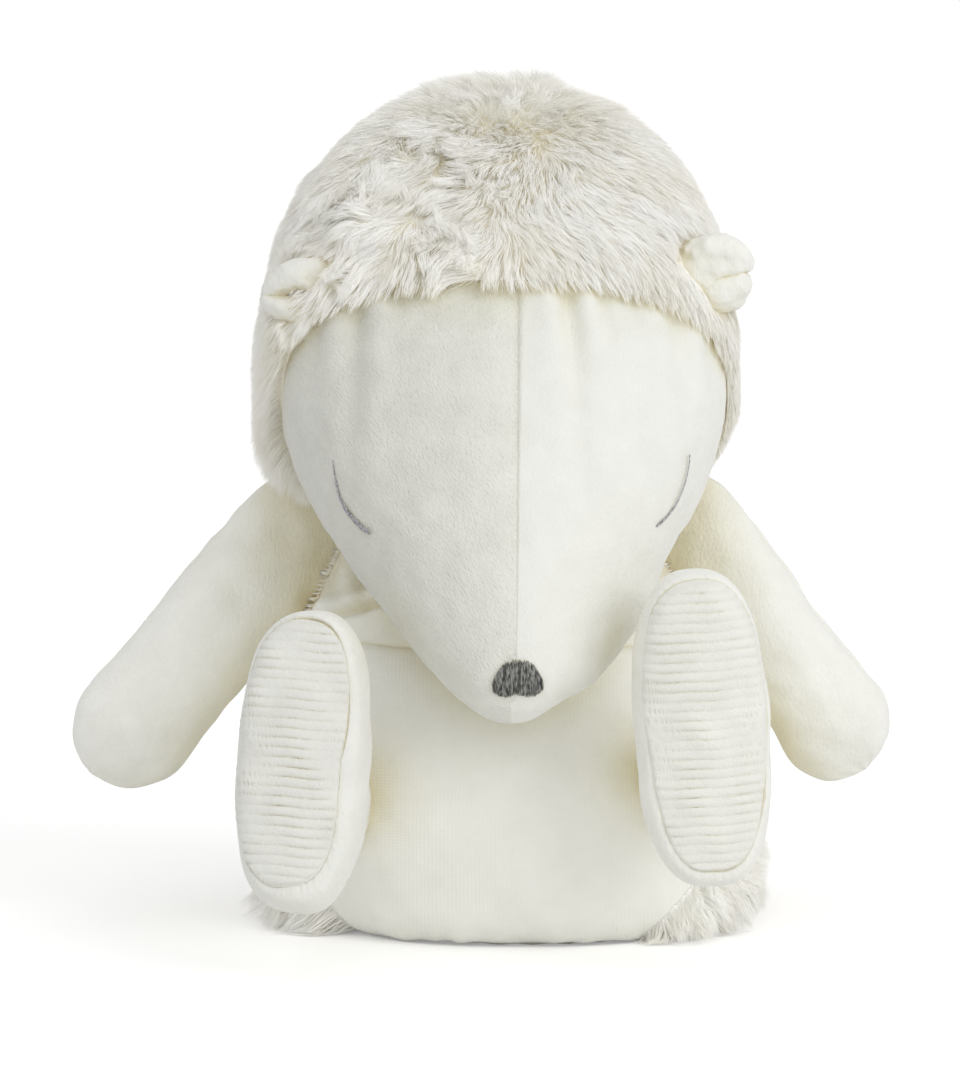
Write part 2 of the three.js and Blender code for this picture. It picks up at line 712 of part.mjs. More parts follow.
for ( const [ name, side ] of [ [ 'left', - 1 ], [ 'right', 1 ] ] ) {

	const pose = arm_poses[ name ];
	const arm = new THREE.Group();
	const arm_out = torso_half_width - pose.side_inset;
	arm.position.set( side * arm_out, - arm_root_forward, torso_height - pose.shoulder_drop );
	arm.rotation.y = - side * pose.seam_tilt_deg * deg;
	arm.updateMatrix();
	hedgehog.add( arm );

	// The arm's line in the seam's frame: outward and down.
	const lean = pose.direction_deg * deg - pose.seam_tilt_deg * deg;
	const along = new THREE.Vector3( side * Math.sin( lean ), 0, - Math.cos( lean ) );
	const across = new THREE.Vector3( side * Math.cos( lean ), 0, Math.sin( lean ) );
	const swing = - side * arm_swing_forward_deg * deg;
	for ( const v of [ along, across ] ) v.applyAxisAngle( Z, swing );
	const depth = forward.clone().applyAxisAngle( Z, swing );
	const rows = arm_section_shares.map( ( [ t, w, top, bottom, roundness ] ) => [ t * arm_length * pose.length_share,
		w * arm_half_width * pose.girth_share, top * arm_half_depth, bottom * arm_half_depth, roundness ] );
	const form = formGeometry( rows, arm_facets, arm_rings, { origin: new THREE.Vector3(), across, upward: depth, along } );
	const seam = ( grow ) => solidOf( spindle( arm_seam_profile_shares.map( ( [ h, r ] ) => [
		h * ( arm_seam_half_length + grow ) - arm_seam_drop, r * ( arm_seam_radius + grow ) ] ), 12 ) );
	const outside = ( inset ) => solidOf( side < 0
		? block( - reach, - inset, - reach, reach, - reach, reach )
		: block( inset, reach, - reach, reach, - reach, reach ) );
	const shaped = ( inset ) => solidOf( offsetForm( form, - inset ) ).intersect( outside( 0 ) )
		.add( seam( - inset ) ).subtract( hoodSweep( arm_hood_gap + inset, arm ) );

	const outer = shaped( 0 ), inner = shaped( velour_thickness );
	const skin = outer.subtract( inner );
	const front = block( - reach, reach, - reach, - seam_gap / 2, - reach, reach );
	const back = block( - reach, reach, seam_gap / 2, reach, - reach, reach );
	for ( const g of [ front, back ] ) turned( g, Z, swing );
	add( 'arm_' + name + '_front_panel', skin.intersect( solidOf( front ) ), velour, arm );
	add( 'arm_' + name + '_back_panel', skin.intersect( solidOf( back ) ), velour_shade, arm );
	add( 'arm_' + name + '_stuffing', shaped( velour_thickness + filling_gap ), filling, arm );
	limbs[ 'arm_' + name ] = { group: arm, clearance: spindle( arm_seam_profile_shares.map( ( [ h, r ] ) => [
		h * ( arm_seam_half_length + running_gap ) - arm_seam_drop, r * ( arm_seam_radius + running_gap ) ] ), 16 ) };

}

// Legs. Each frame stands at its hip, with the ball of the thigh round the origin, Y
// back along the leg and X across it, about which it swings.

for ( const [ name, side ] of [ [ 'left', - 1 ], [ 'right', 1 ] ] ) {

	const pose = leg_poses[ name ];
	const leg = new THREE.Group();
	const hip_out = torso_half_width - pose.side_inset;
	leg.position.set( side * hip_out, pose.belly_inset - belly_depth, pose.hip_height );
	leg.rotation.z = side * pose.splay_deg * deg;
	leg.updateMatrix();
	hedgehog.add( leg );

	const width = foot_half_width * pose.girth_share;
	const height = foot_half_height * pose.height_share;
	const ball = hip_ball_shares.map( ( s ) => {

		const r = hip_radius * Math.sqrt( 1 - s * s );
		return [ s * hip_radius, r, r, - r, 2, 0 ];

	} );
	const rows = ball.concat( foot_section_shares.map( ( [ t, w, top, bottom, roundness, share ] ) => {

		const rise = share * foot_rise;
		return [ t * leg_length, w * width, top * height + rise, bottom * height + rise, roundness, 0 ];

	} ) );
	const form = formGeometry( rows, leg_facets, rows.length - 1,
		{ origin: new THREE.Vector3(), across: X, upward: Z, along: forward } );
	// Past the ankle the foot leans sideways, and tilts back or forward, about its middle.
	const p = form.attributes.position;
	const middle = new THREE.Vector3( 0, - leg_length * foot_middle_share, foot_rise );
	for ( let i = 0; i < p.count; i ++ ) {

		const v = new THREE.Vector3().fromBufferAttribute( p, i );
		const share = THREE.MathUtils.smoothstep( - v.y, hip_radius, leg_length * foot_begins_share );
		v.sub( middle ).applyAxisAngle( Y, share * pose.lean_deg * deg );
		v.applyAxisAngle( X, - share * pose.tilt_deg * deg ).add( middle );
		p.setXYZ( i, v.x, v.y, v.z );

	}

	const skin = solidOf( form ).subtract( solidOf( offsetForm( form, - velour_thickness ) ) );
	const slice = ( from, to ) => block( - reach, reach, - to, - from, - reach, reach );
	// The sole's seam follows the foot's own lean and tilt.
	const tilted = ( g ) => turned( turned( g, Y, pose.lean_deg * deg, middle ), X, - pose.tilt_deg * deg, middle );
	const past_ankle = solidOf( slice( ankle_seam_along + seam_gap / 2, reach ) );
	const behind_sole = solidOf( tilted( slice( - reach, sole_seam_along - seam_gap / 2 ) ) );
	const before_sole = solidOf( tilted( slice( sole_seam_along + seam_gap / 2, reach ) ) );
	const before_ankle = solidOf( slice( - reach, ankle_seam_along - seam_gap / 2 ) );
	add( 'leg_' + name + '_sleeve', skin.intersect( before_ankle ), velour_shade, leg );
	add( 'foot_' + name + '_wall', skin.intersect( past_ankle ).intersect( behind_sole ), velour, leg );
	add( 'sole_' + name, skin.intersect( past_ankle ).intersect( before_sole ), knit, leg );
	const plug = solidOf( offsetForm( form, - velour_thickness - filling_gap ) );
	add( 'leg_' + name + '_stuffing', plug, filling, leg );
	const clearance = new THREE.SphereGeometry( hip_radius + running_gap, 18, 12 );
	limbs[ 'leg_' + name ] = { group: leg, clearance };

}

// Torso, cut by the skull's hollow, the arms' seams and the balls of the thighs

const torso_rows = torso_section_shares.map( ( [ h, a, front, back, roundness ] ) => {

	const sideways = torso_base_shift - h * torso_lean;
	const [ belly, rear ] = [ front * belly_depth, back * back_depth ];
	return [ h * torso_height, a * torso_half_width, belly, rear, roundness, 0, sideways ];

} );
const torso_frame = { origin: new THREE.Vector3(), across: X, upward: forward, along: Z };
const torso_form = formGeometry( torso_rows, torso_facets, torso_rows.length - 1, torso_frame );
const above = ( height ) => solidOf( block( - reach, reach, - reach, reach, height, reach ) );
let room = hoodSweep( running_gap )
	.add( solidOf( offsetForm( head_form, seam_gap ), head ) )
	.add( inTorso( head_clear.intersect( behind_hood_seam ), head ) );
for ( const limb of Object.values( limbs ) ) room = room.add( solidOf( limb.clearance, limb.group ) );

const torso_at = ( distance, floor ) => solidOf( offsetForm( torso_form, distance ) )
	.intersect( above( floor ) ).subtract( room );
const torso_velour = torso_at( 0, 0 );
const torso_furred = torso_at( fur_mat_thickness - velour_thickness, 0 );
const torso_inner = solidOf( offsetForm( torso_form, - velour_thickness ) )
	.intersect( above( base_cloth_thickness ) );

const baseCutter = ( grow ) => {

	const disc = new THREE.CylinderGeometry( 1, 1, 2 * cut_overrun, 28 );
	disc.rotateX( Math.PI / 2 );
	disc.scale( base_half_width + grow, base_half_depth + grow, 1 );
	return solidOf( disc.translate( torso_base_shift, 0, 0 ) );

};

add( 'base_panel', torso_velour.subtract( torso_inner ).intersect( baseCutter( - seam_gap / 2 ) ), lining );

// The belly's side of the seam: forward of the side seams, but not the rolled lower
// corner on the right, where the fur comes round.

const belly_side = ( grow ) => {

	const front = solidOf( block( - reach, reach, - reach, - side_seam_forward + grow, - reach, reach ) );
	const corner = block( 0, reach, - reach, reach, - reach, 0 );
	turned( corner, Y, - corner_roll_slope_deg * deg );
	corner.translate( corner_roll_start + grow, 0, 0 );
	return front.subtract( solidOf( corner ) );

};

const below = ( height ) => solidOf( block( - reach, reach, - reach, reach, - reach, height ) );
const below_chest_seam = below( chest_seam_height - seam_gap / 2 );
const above_chest_seam = above( chest_seam_height + seam_gap / 2 );
const sides = ( outer ) => outer.subtract( torso_inner ).subtract( baseCutter( seam_gap / 2 ) );
const front_cloth = sides( torso_velour ).intersect( belly_side( - seam_gap / 2 ) );
add( 'belly_panel', front_cloth.intersect( below_chest_seam ), knit );
add( 'chest_yoke', front_cloth.intersect( above_chest_seam ), velour );
add( 'back_fur_panel', sides( torso_furred ).subtract( belly_side( seam_gap / 2 ) ), fur );

// Pellet pouch in the seat, and the filling round it

const pouch_middle = base_cloth_thickness + pouch_lift + pouch_height / 2;
const pouchForm = ( inset ) => {

	const lens = new THREE.SphereGeometry( 1, 16, 6 );
	lens.rotateX( Math.PI / 2 );
	lens.scale( pouch_half_width - inset, pouch_half_depth - inset, pouch_height / 2 - inset );
	return solidOf( lens.translate( torso_base_shift, 0, pouch_middle ) );

};

const pouch_shell = pouchForm( 0 ).subtract( pouchForm( pouch_cloth_thickness ) );
const under_middle = below( pouch_middle - seam_gap / 2 );
add( 'pouch_upper_cloth', pouch_shell.intersect( above( pouch_middle + seam_gap / 2 ) ), lining );
add( 'pouch_lower_cloth', pouch_shell.intersect( under_middle ), lining );
add( 'pellet_fill', pouchForm( pouch_cloth_thickness + filling_gap ), pellets );

const body_filling = solidOf( offsetForm( torso_form, - velour_thickness - filling_gap ) )
	.intersect( above( base_cloth_thickness + filling_gap ) ).subtract( room );
const under_pouch = new THREE.CylinderGeometry( 1, 1, pouch_middle, 24 );
under_pouch.rotateX( Math.PI / 2 );
under_pouch.scale( pouch_half_width * pouch_seat_share, pouch_half_depth * pouch_seat_share, 1 );
under_pouch.translate( torso_base_shift, 0, pouch_middle / 2 );
add( 'body_stuffing', body_filling.subtract( pouchForm( - filling_gap ) ).subtract( solidOf( under_pouch ) ), filling );

export default hedgehog;
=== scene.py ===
import math

import bmesh
import bpy
import numpy as np
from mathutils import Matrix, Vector
from mathutils.kdtree import KDTree


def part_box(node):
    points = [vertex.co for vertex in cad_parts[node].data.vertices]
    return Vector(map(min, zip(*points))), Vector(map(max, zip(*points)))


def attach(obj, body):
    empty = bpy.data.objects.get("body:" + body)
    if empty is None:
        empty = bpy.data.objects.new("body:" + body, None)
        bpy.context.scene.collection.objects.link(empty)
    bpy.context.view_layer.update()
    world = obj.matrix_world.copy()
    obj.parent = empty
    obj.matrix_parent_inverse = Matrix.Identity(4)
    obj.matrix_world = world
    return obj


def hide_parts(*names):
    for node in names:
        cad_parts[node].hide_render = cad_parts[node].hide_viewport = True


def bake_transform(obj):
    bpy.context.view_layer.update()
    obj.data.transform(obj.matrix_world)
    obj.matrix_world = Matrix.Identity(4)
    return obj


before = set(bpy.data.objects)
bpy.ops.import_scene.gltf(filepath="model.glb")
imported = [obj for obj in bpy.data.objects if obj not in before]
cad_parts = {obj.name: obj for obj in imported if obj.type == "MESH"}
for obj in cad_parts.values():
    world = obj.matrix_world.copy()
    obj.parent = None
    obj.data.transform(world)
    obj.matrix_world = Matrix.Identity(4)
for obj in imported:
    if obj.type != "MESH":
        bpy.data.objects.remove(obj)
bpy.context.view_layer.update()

# Sizes are written in millimetres and meshes are made in metres.
MM = 0.001
DEG = math.pi / 180
TURN = 2 * math.pi
X, Y, Z = np.eye(3)


# Camera

IMAGE_W, IMAGE_H = 960, 1091
AIM = np.array([0.0, -50.0, 135.0])
AIM_PX = (518.0, 506.5)
DISTANCE, ELEVATION, FOCAL_PX, SENSOR = 1800.0, 6.0, 5882.0, 36.0
MM_PER_PX = 0.306
SIGHT = np.array([0.0, math.cos(ELEVATION * DEG), -math.sin(ELEVATION * DEG)])
OVER = np.array([0.0, math.sin(ELEVATION * DEG), math.cos(ELEVATION * DEG)])
EYE = AIM - SIGHT * DISTANCE


def place_camera():
    data = bpy.data.cameras.new("camera")
    data.sensor_width = SENSOR
    data.lens = FOCAL_PX * SENSOR / IMAGE_H
    data.shift_x = (IMAGE_W / 2 - AIM_PX[0]) / IMAGE_H
    data.shift_y = -(IMAGE_H / 2 - AIM_PX[1]) / IMAGE_H
    data.clip_start, data.clip_end = 0.05, 60.0
    camera = bpy.data.objects.new("camera", data)
    bpy.context.scene.collection.objects.link(camera)
    bpy.context.scene.camera = camera
    camera.location = Vector(EYE * MM)
    camera.rotation_mode = "QUATERNION"
    camera.rotation_quaternion = Vector(SIGHT).to_track_quat("-Z", "Y")


place_camera()


def project(p):
    """Millimetres to the photograph's pixels."""
    d = p - EYE
    depth = d @ SIGHT
    return AIM_PX[0] + FOCAL_PX * d[..., 0] / depth, AIM_PX[1] - FOCAL_PX * (d @ OVER) / depth


def at_px(px, py, y):
    """The place seen at a pixel, at a depth y in millimetres."""
    ray = SIGHT + X * (px - AIM_PX[0]) / FOCAL_PX - OVER * (py - AIM_PX[1]) / FOCAL_PX
    return EYE + ray * (y - EYE[1]) / ray[1]


def px_distance(p, a, b):
    """Distance in millimetres, as the photograph shows it, from the line between two of its pixels."""
    x, y = project(p)
    a, b = np.array(a, float), np.array(b, float)
    way = b - a
    along = np.clip(((x - a[0]) * way[0] + (y - a[1]) * way[1]) / (way ** 2).sum(), 0, 1)
    return np.hypot(x - a[0] - along * way[0], y - a[1] - along * way[1]) * MM_PER_PX


# Curves and noise

def smoothstep(a, b, x):
    t = np.clip((x - a) / (b - a), 0, 1)
    return t * t * (3 - 2 * t)


def bell(x, width):
    return np.exp(-(x / width) ** 2)


def fade(x, length):
    """One at x of zero and below, and falling off over a length."""
    return np.exp(-np.maximum(x, 0) / length)


def unit(v):
    return v / np.maximum(np.linalg.norm(v, axis=-1), 1e-9)[..., None]


def turn(v, axis, angle):
    """Vectors turned about a unit axis, by one angle or by one each."""
    v = np.asarray(v, float)
    c, s = np.cos(angle), np.sin(angle)
    if np.ndim(angle):
        c, s = c[..., None], s[..., None]
    return v * c + np.cross(axis, v) * s + (v @ axis)[..., None] * axis * (1 - c)


# A cheap smooth noise: sums of sines in fixed directions, from a seeded set.
WAVES = 24
wave_rng = np.random.default_rng(11)
wave_ways = unit(wave_rng.normal(size=(WAVES, 3)))
wave_phase = wave_rng.uniform(0, TURN, WAVES)
wave_rate = wave_rng.uniform(0.7, 1.4, WAVES)


def soft_noise(p, size):
    """Smooth noise from about -1 to 1 whose bumps are about size apart."""
    a = (p @ wave_ways.T) * (TURN / size * wave_rate) + wave_phase
    return np.sin(a).sum(-1) / math.sqrt(WAVES)


def noise3(p, size):
    """Three noises at once, for directions."""
    apart = 97.0
    return np.stack([soft_noise(p + k * apart, size) for k in range(3)], -1)


def ring(count):
    """Even angles round a turn, without the last that would repeat the first."""
    return np.linspace(0, TURN, count + 1)[:-1]


# Forms, as in the solids. A section table holds, for each place along a form: the station, the
# half width, the section's two extents up and down, the roundness, and the shift across.

def spline(rows, pos):
    """Rows of a section table at fractional places, with rounded poles."""
    rows = np.asarray(rows, float)
    last = len(rows) - 1

    def mirror(pole, other):
        m = other.copy()
        m[1] = -other[1]
        m[2:4] = 2 * pole[2:4] - other[2:4]
        return m

    ext = np.vstack([mirror(rows[0], rows[1]), rows, mirror(rows[last], rows[last - 1])])
    pos = np.clip(np.atleast_1d(np.asarray(pos, float)), 0, last)
    i = np.minimum(pos.astype(int), last - 1)
    t = (pos - i)[:, None]
    weights = (t * (-0.5 + t - 0.5 * t * t), 1 + t * t * (-2.5 + 1.5 * t),
               t * (0.5 + 2 * t - 1.5 * t * t), t * t * (-0.5 + 0.5 * t))
    return sum(w * ext[i + k] for k, w in enumerate(weights))


def section(row, angle):
    """Across and up for arrays of rows (n, 6) and angles (n, k)."""
    c, s = np.cos(angle), np.sin(angle)
    power = 2 / row[:, 4:5]
    x = row[:, 5:6] + np.maximum(row[:, 1:2], 0) * np.sign(c) * np.abs(c) ** power
    middle, reach = (row[:, 2:3] + row[:, 3:4]) / 2, (row[:, 2:3] - row[:, 3:4]) / 2
    return x, middle + reach * np.sign(s) * np.abs(s) ** power


class Form:
    """A lofted form: a table of sections and the frame it stands in."""

    def __init__(self, rows, origin, across, upward, along, bend=None):
        self.rows = np.array(rows, float)
        self.o, self.a, self.u, self.l = (np.asarray(v, float) for v in (origin, across, upward, along))
        self.bend = bend
        self.last = len(rows) - 1
        self.dense = np.linspace(0, self.last, 1201)
        self.station = spline(self.rows, self.dense)[:, 0]

    def place_of(self, station):
        """The table place at a station along the form."""
        return np.interp(station, np.maximum.accumulate(self.station), self.dense)

    def even(self, start, end, count):
        """Places between two others, evenly spaced along the surface."""
        u = np.linspace(start, end, 600)
        r = spline(self.rows, u)
        probes = np.tile([[0.3, 1.2, 2.2]], (len(u), 1))
        x, y = section(r, probes)
        step = np.sqrt(np.diff(x, axis=0) ** 2 + np.diff(y, axis=0) ** 2 + np.diff(r[:, :1], axis=0) ** 2)
        arc = np.concatenate([[0], np.cumsum(step.max(1))])
        return np.interp(np.linspace(0, arc[-1], count), arc, u)

    def local(self, u, angle):
        """Across, up and along for places u (n,) and angles (n, k)."""
        r = spline(self.rows, u)
        x, y = section(r, angle)
        return x, y, np.broadcast_to(r[:, :1], x.shape)

    def world(self, x, y, s):
        p = np.stack([x, y, s], -1)
        if self.bend is not None:
            p = self.bend(p)
        return self.o + p[..., :1] * self.a + p[..., 1:2] * self.u + p[..., 2:3] * self.l

    def grid(self, u, angle):
        return self.world(*self.local(u, angle))

    def surface(self, u, angle):
        """Places and outward normals for table places u (n,) and angles (n, k)."""
        du, da = 0.01, 0.004
        p = self.grid(u, angle)
        down = self.grid(np.minimum(u + du, self.last), angle) - self.grid(np.maximum(u - du, 0), angle)
        n = np.cross(down, self.grid(u, angle + da) - self.grid(u, angle - da))
        n /= np.maximum(np.linalg.norm(n, axis=-1), 1e-12)[..., None]
        r = spline(self.rows, u)
        mid = self.world(r[:, 5], (r[:, 2] + r[:, 3]) / 2, r[:, 0])
        return p, -n if (n * (p - mid[:, None])).sum() < 0 else n

    def depth(self, p):
        """How deep points lie inside the form, as one minus the section's own measure. Over 0 is inside."""
        d = p - self.o
        x, y, s = d @ self.a, d @ self.u, d @ self.l
        r = spline(self.rows, self.place_of(s).ravel()).reshape(s.shape + (-1,))
        half = np.maximum(r[..., 1], 1e-3)
        reach = np.maximum((r[..., 2] - r[..., 3]) / 2, 1e-3)
        middle = (r[..., 2] + r[..., 3]) / 2
        wide, tall = np.abs((x - r[..., 5]) / half), np.abs((y - middle) / reach)
        f = (wide ** r[..., 4] + tall ** r[..., 4]) ** (1 / r[..., 4])
        beyond = (s < self.station.min()) | (s > self.station.max())
        return 1 - np.where(beyond, 2.0, f)


# Head. NOD is the centre about which it nods.

NOD = np.array([-5.5, 5.0, 196.0])
PITCH, YAW = 31.2 * DEG, 1.7 * DEG
HEAD_LEN, HEAD_HH, HEAD_HW = 217.0, 89.0, 68.5
SKULL_ALONG, SKULL_UP = 57.7, 30
HOOD_SEAM = 106.0
HEAD_SHARES = [
    (-0.002, 0, 0.315, 0.315, 2), (0.009, 0.277, 0.506, 0.124, 2), (0.041, 0.54, 0.702, -0.067, 2.1),
    (0.111, 0.774, 0.888, -0.225, 2.2), (0.194, 0.898, 0.978, -0.331, 2.3), (0.276, 0.956, 1, -0.36, 2.4),
    (0.369, 0.985, 0.949, -0.315, 2.5), (0.452, 1, 0.854, -0.236, 2.6), (0.516, 0.985, 0.764, -0.202, 2.6),
    (0.613, 0.905, 0.68, -0.202, 2.5), (0.728, 0.737, 0.545, -0.225, 2.3), (0.839, 0.518, 0.371, -0.247, 2.2),
    (0.917, 0.343, 0.225, -0.247, 2.1), (0.963, 0.226, 0.124, -0.219, 2.1), (0.989, 0.139, 0.045, -0.163, 2),
    (1, 0, -0.062, -0.062, 2)]
head_along = turn([0, -math.cos(PITCH), -math.sin(PITCH)], Z, YAW)
head_up = turn([0, -math.sin(PITCH), math.cos(PITCH)], Z, YAW)
head_across = turn(X, Z, YAW)
head = Form([(s * HEAD_LEN, a * HEAD_HW, t * HEAD_HH, b * HEAD_HH, r, 0) for s, a, t, b, r in HEAD_SHARES],
            NOD - SKULL_ALONG * head_along - SKULL_UP * head_up, head_across, head_up, head_along)
hood_end = float(head.place_of(HOOD_SEAM))

# Torso

TORSO_H, TORSO_HW, BELLY, BACK = 149.0, 69.5, 73.0, 69.0
TORSO_SHIFT, TORSO_LEAN = 2, 10.5
TORSO_SHARES = [
    (-0.06, 0, 0.055, 0.058, 2.2), (-0.047, 0.547, 0.548, -0.522, 2.2), (-0.02, 0.748, 0.726, -0.725, 2.3),
    (0, 0.842, 0.808, -0.812, 2.4), (0.034, 0.928, 0.897, -0.899, 2.4), (0.094, 0.978, 0.959, -0.964, 2.4),
    (0.235, 1, 1, -1, 2.4), (0.403, 0.993, 0.959, -0.986, 2.4), (0.557, 0.942, 0.795, -0.928, 2.4),
    (0.664, 0.878, 0.616, -0.826, 2.4), (0.765, 0.799, 0.425, -0.696, 2.4),
    (0.859, 0.691, 0.247, -0.536, 2.3), (0.926, 0.532, 0.123, -0.391, 2.2),
    (0.973, 0.331, 0.027, -0.246, 2.1), (1, 0, -0.096, -0.101, 2)]
torso = Form([(h * TORSO_H, a * TORSO_HW, f * BELLY, b * BACK, r, TORSO_SHIFT - h * TORSO_LEAN)
              for h, a, f, b, r in TORSO_SHARES], np.zeros(3), X, -Y, Z)

# Arms

ARM_LEN, ARM_HW, ARM_HD, ARM_SWING = 103, 24, 16.5, 8
ARM_SHARES = [
    (-0.16, 0, 0, 0, 2), (-0.13, 0.44, 0.26, -0.26, 2), (-0.06, 0.7, 0.47, -0.47, 2.1),
    (0.03, 0.81, 0.62, -0.62, 2.2), (0.13, 0.83, 0.77, -0.77, 2.2), (0.28, 0.83, 0.92, -0.92, 2.2),
    (0.48, 0.8, 1, -1, 2.2), (0.68, 0.8, 1, -1, 2.2), (0.83, 0.79, 0.95, -0.95, 2.1),
    (0.93, 0.6, 0.7, -0.7, 2.1), (0.98, 0.33, 0.38, -0.38, 2), (1, 0, 0, 0, 2)]


def arm_form(side, root, direction, tilt, girth, length):
    lean = (direction - tilt) * DEG
    axes = (np.array([side * math.cos(lean), 0, math.sin(lean)]), -Y,
            np.array([side * math.sin(lean), 0, -math.cos(lean)]))
    swung = (turn(turn(v, Z, -side * ARM_SWING * DEG), Y, -side * tilt * DEG) for v in axes)
    rows = [(t * ARM_LEN * length, w * ARM_HW * girth, a * ARM_HD, b * ARM_HD, r, 0)
            for t, w, a, b, r in ARM_SHARES]
    return Form(rows, root, *swung)


arms = {"left": arm_form(-1, (-66.5, -2, 125.0), 40.7, 15.9, 1.06, 1.02),
        "right": arm_form(1, (53.2, -2, 125.0), 36.2, 20.9, 0.96, 0.94)}

# Legs and feet. A foot's last number is the share of the foot's rise that its middle has.

LEG_LEN, FOOT_HW, FOOT_HH, FOOT_RISE, HIP_R = 65.0, 20.0, 45.5, 21.0, 15.5
FOOT_SHARES = [
    (0.3, 0.86, 0.38, -0.38, 2, 0.3), (0.41, 0.87, 0.5, -0.46, 2.1, 0.62), (0.5, 0.9, 0.73, -0.71, 2.3, 0.92),
    (0.61, 0.98, 0.95, -0.96, 2.5, 1), (0.75, 1, 1, -1, 2.6, 1), (0.88, 0.94, 0.965, -0.96, 2.6, 1),
    (0.95, 0.8, 0.88, -0.87, 2.5, 1), (0.985, 0.46, 0.6, -0.6, 2.1, 1), (1, 0, 0, 0, 2, 1)]
HIP_STATIONS = (-1, -0.9, -0.62, -0.2, 0.2)
BEND_MIDDLE, BEND_END = 0.75, 0.6


def leg_form(side, hip, splay, lean, tilt, girth, height):
    rows = []
    for s in HIP_STATIONS:
        r = math.sqrt(1 - s * s) * HIP_R
        rows.append((s * HIP_R, r, r, -r, 2, 0))
    for t, w, a, b, r, k in FOOT_SHARES:
        top, low = a * FOOT_HH * height + k * FOOT_RISE, b * FOOT_HH * height + k * FOOT_RISE
        rows.append((t * LEG_LEN, w * FOOT_HW * girth, top, low, r, 0))

    # In the leg's own axes x is across, y is up and s is along, so forward is s.
    def bend(p):
        v = p[..., [0, 2, 1]] * np.array([1, -1, 1])
        middle = np.array([0, -LEG_LEN * BEND_MIDDLE, FOOT_RISE])
        share = smoothstep(0, 1, (-v[..., 1] - HIP_R) / (LEG_LEN * BEND_END - HIP_R))
        shape = v.shape
        v, share = (v - middle).reshape(-1, 3), share.reshape(-1)
        v = turn(v, Y, share * lean * DEG)
        v = turn(v, X, -share * tilt * DEG).reshape(shape) + middle
        return v[..., [0, 2, 1]] * np.array([1, 1, -1])

    splayed = side * splay * DEG
    return Form(rows, hip, turn(X, Z, splayed), Z, turn(-Y, Z, splayed), bend)


legs = {"left": leg_form(-1, (-60.5, -61, 44.0), 3.8, 3, 13, 1, 1),
        "right": leg_form(1, (52.5, -62.5, 54.0), 2.5, -4, -3, 1.03, 1.05)}

# The space that the skull's hood turns in, about the nod axis, as a radius at even places across.

HOOD_COVER, SWEEP_SLOTS, SWEEP_FROM, SWEEP_TO = 2.1, 13, -20, 100
SWEEP_HALF = HEAD_HW + HOOD_COVER


def hood_sweep():
    p = head.grid(np.linspace(0, head.last, 60), np.tile(ring(96), (60, 1)))
    rel = (p - NOD).reshape(-1, 3)
    x, y, z = rel @ head_across, rel @ turn(Y, Z, YAW), rel @ Z
    clock = np.degrees(np.arctan2(y, -z))
    inside = (clock > SWEEP_FROM) & (clock < SWEEP_TO)
    slots = np.minimum((np.abs(x[inside]) / SWEEP_HALF * SWEEP_SLOTS).astype(int), SWEEP_SLOTS - 1)
    radius = np.zeros(SWEEP_SLOTS + 1)
    for slot in (slots, slots + 1):
        np.maximum.at(radius, slot, np.hypot(y, z)[inside] + HOOD_COVER)
    return radius


sweep_radius = hood_sweep()


def push_from_sweep(p, gap):
    """Points inside the hood's turning space go out to its surface, square to the nod axis."""
    d = p - NOD
    x = d @ head_across
    off = d - x[..., None] * head_across
    r = np.sqrt((off ** 2).sum(-1))
    limit = np.interp(np.abs(x), np.arange(SWEEP_SLOTS + 1) / SWEEP_SLOTS * SWEEP_HALF, sweep_radius) + gap
    limit = np.where(np.abs(x) > SWEEP_HALF + gap, 0, limit)
    grow = np.where(r < limit, limit / np.maximum(r, 1e-6), 1.0)
    return p + off * (grow - 1)[..., None]


# Meshes

NO_TRIS = np.zeros((0, 3), int)


def grid_faces(m, n, closed=True):
    """Quads of an m by n grid of vertices, closed round the columns or not."""
    i, j = np.meshgrid(np.arange(m - 1), np.arange(n if closed else n - 1), indexing="ij")
    k = (j + 1) % n
    return np.stack([i * n + j, i * n + k, (i + 1) * n + k, (i + 1) * n + j], -1).reshape(-1, 4)


def fan(centre, first, n):
    """Triangles from a centre to the n places that follow a first one, round a ring."""
    j = np.arange(n)
    return np.stack([np.full(n, centre), first + j, first + (j + 1) % n], 1)


def faced(faces, verts, normals):
    """The same faces, turned so that they look along the normals."""
    a = np.cross(verts[faces[:, 2]] - verts[faces[:, 0]], verts[faces[:, -1]] - verts[faces[:, 1]])
    return faces[:, ::-1] if (a * normals[faces[:, 0]]).sum() < 0 else faces


def mesh_object(name, verts, quads=np.zeros((0, 4), int), tris=NO_TRIS, smooth=True):
    me = bpy.data.meshes.new(name)
    me.vertices.add(len(verts))
    me.vertices.foreach_set("co", (np.asarray(verts, np.float64) * MM).astype(np.float32).ravel())
    loops = np.concatenate([quads.ravel(), tris.ravel()]).astype(np.int32)
    me.loops.add(len(loops))
    me.loops.foreach_set("vertex_index", loops)
    starts = np.concatenate([np.arange(len(quads)) * 4, len(quads) * 4 + np.arange(len(tris)) * 3])
    me.polygons.add(len(starts))
    me.polygons.foreach_set("loop_start", starts.astype(np.int32))
    me.update(calc_edges=True)
    me.polygons.foreach_set("use_smooth", np.full(len(starts), smooth))
    ob = bpy.data.objects.new(name, me)
    bpy.context.scene.collection.objects.link(ob)
    return ob


def places_in(mesh, kind="co"):
    """A mesh's places in millimetres, or its normals, as an array."""
    flat = np.zeros(len(mesh.vertices) * 3, np.float32)
    mesh.vertices.foreach_get(kind, flat)
    return flat.reshape(-1, 3).astype(float) / (MM if kind == "co" else 1)


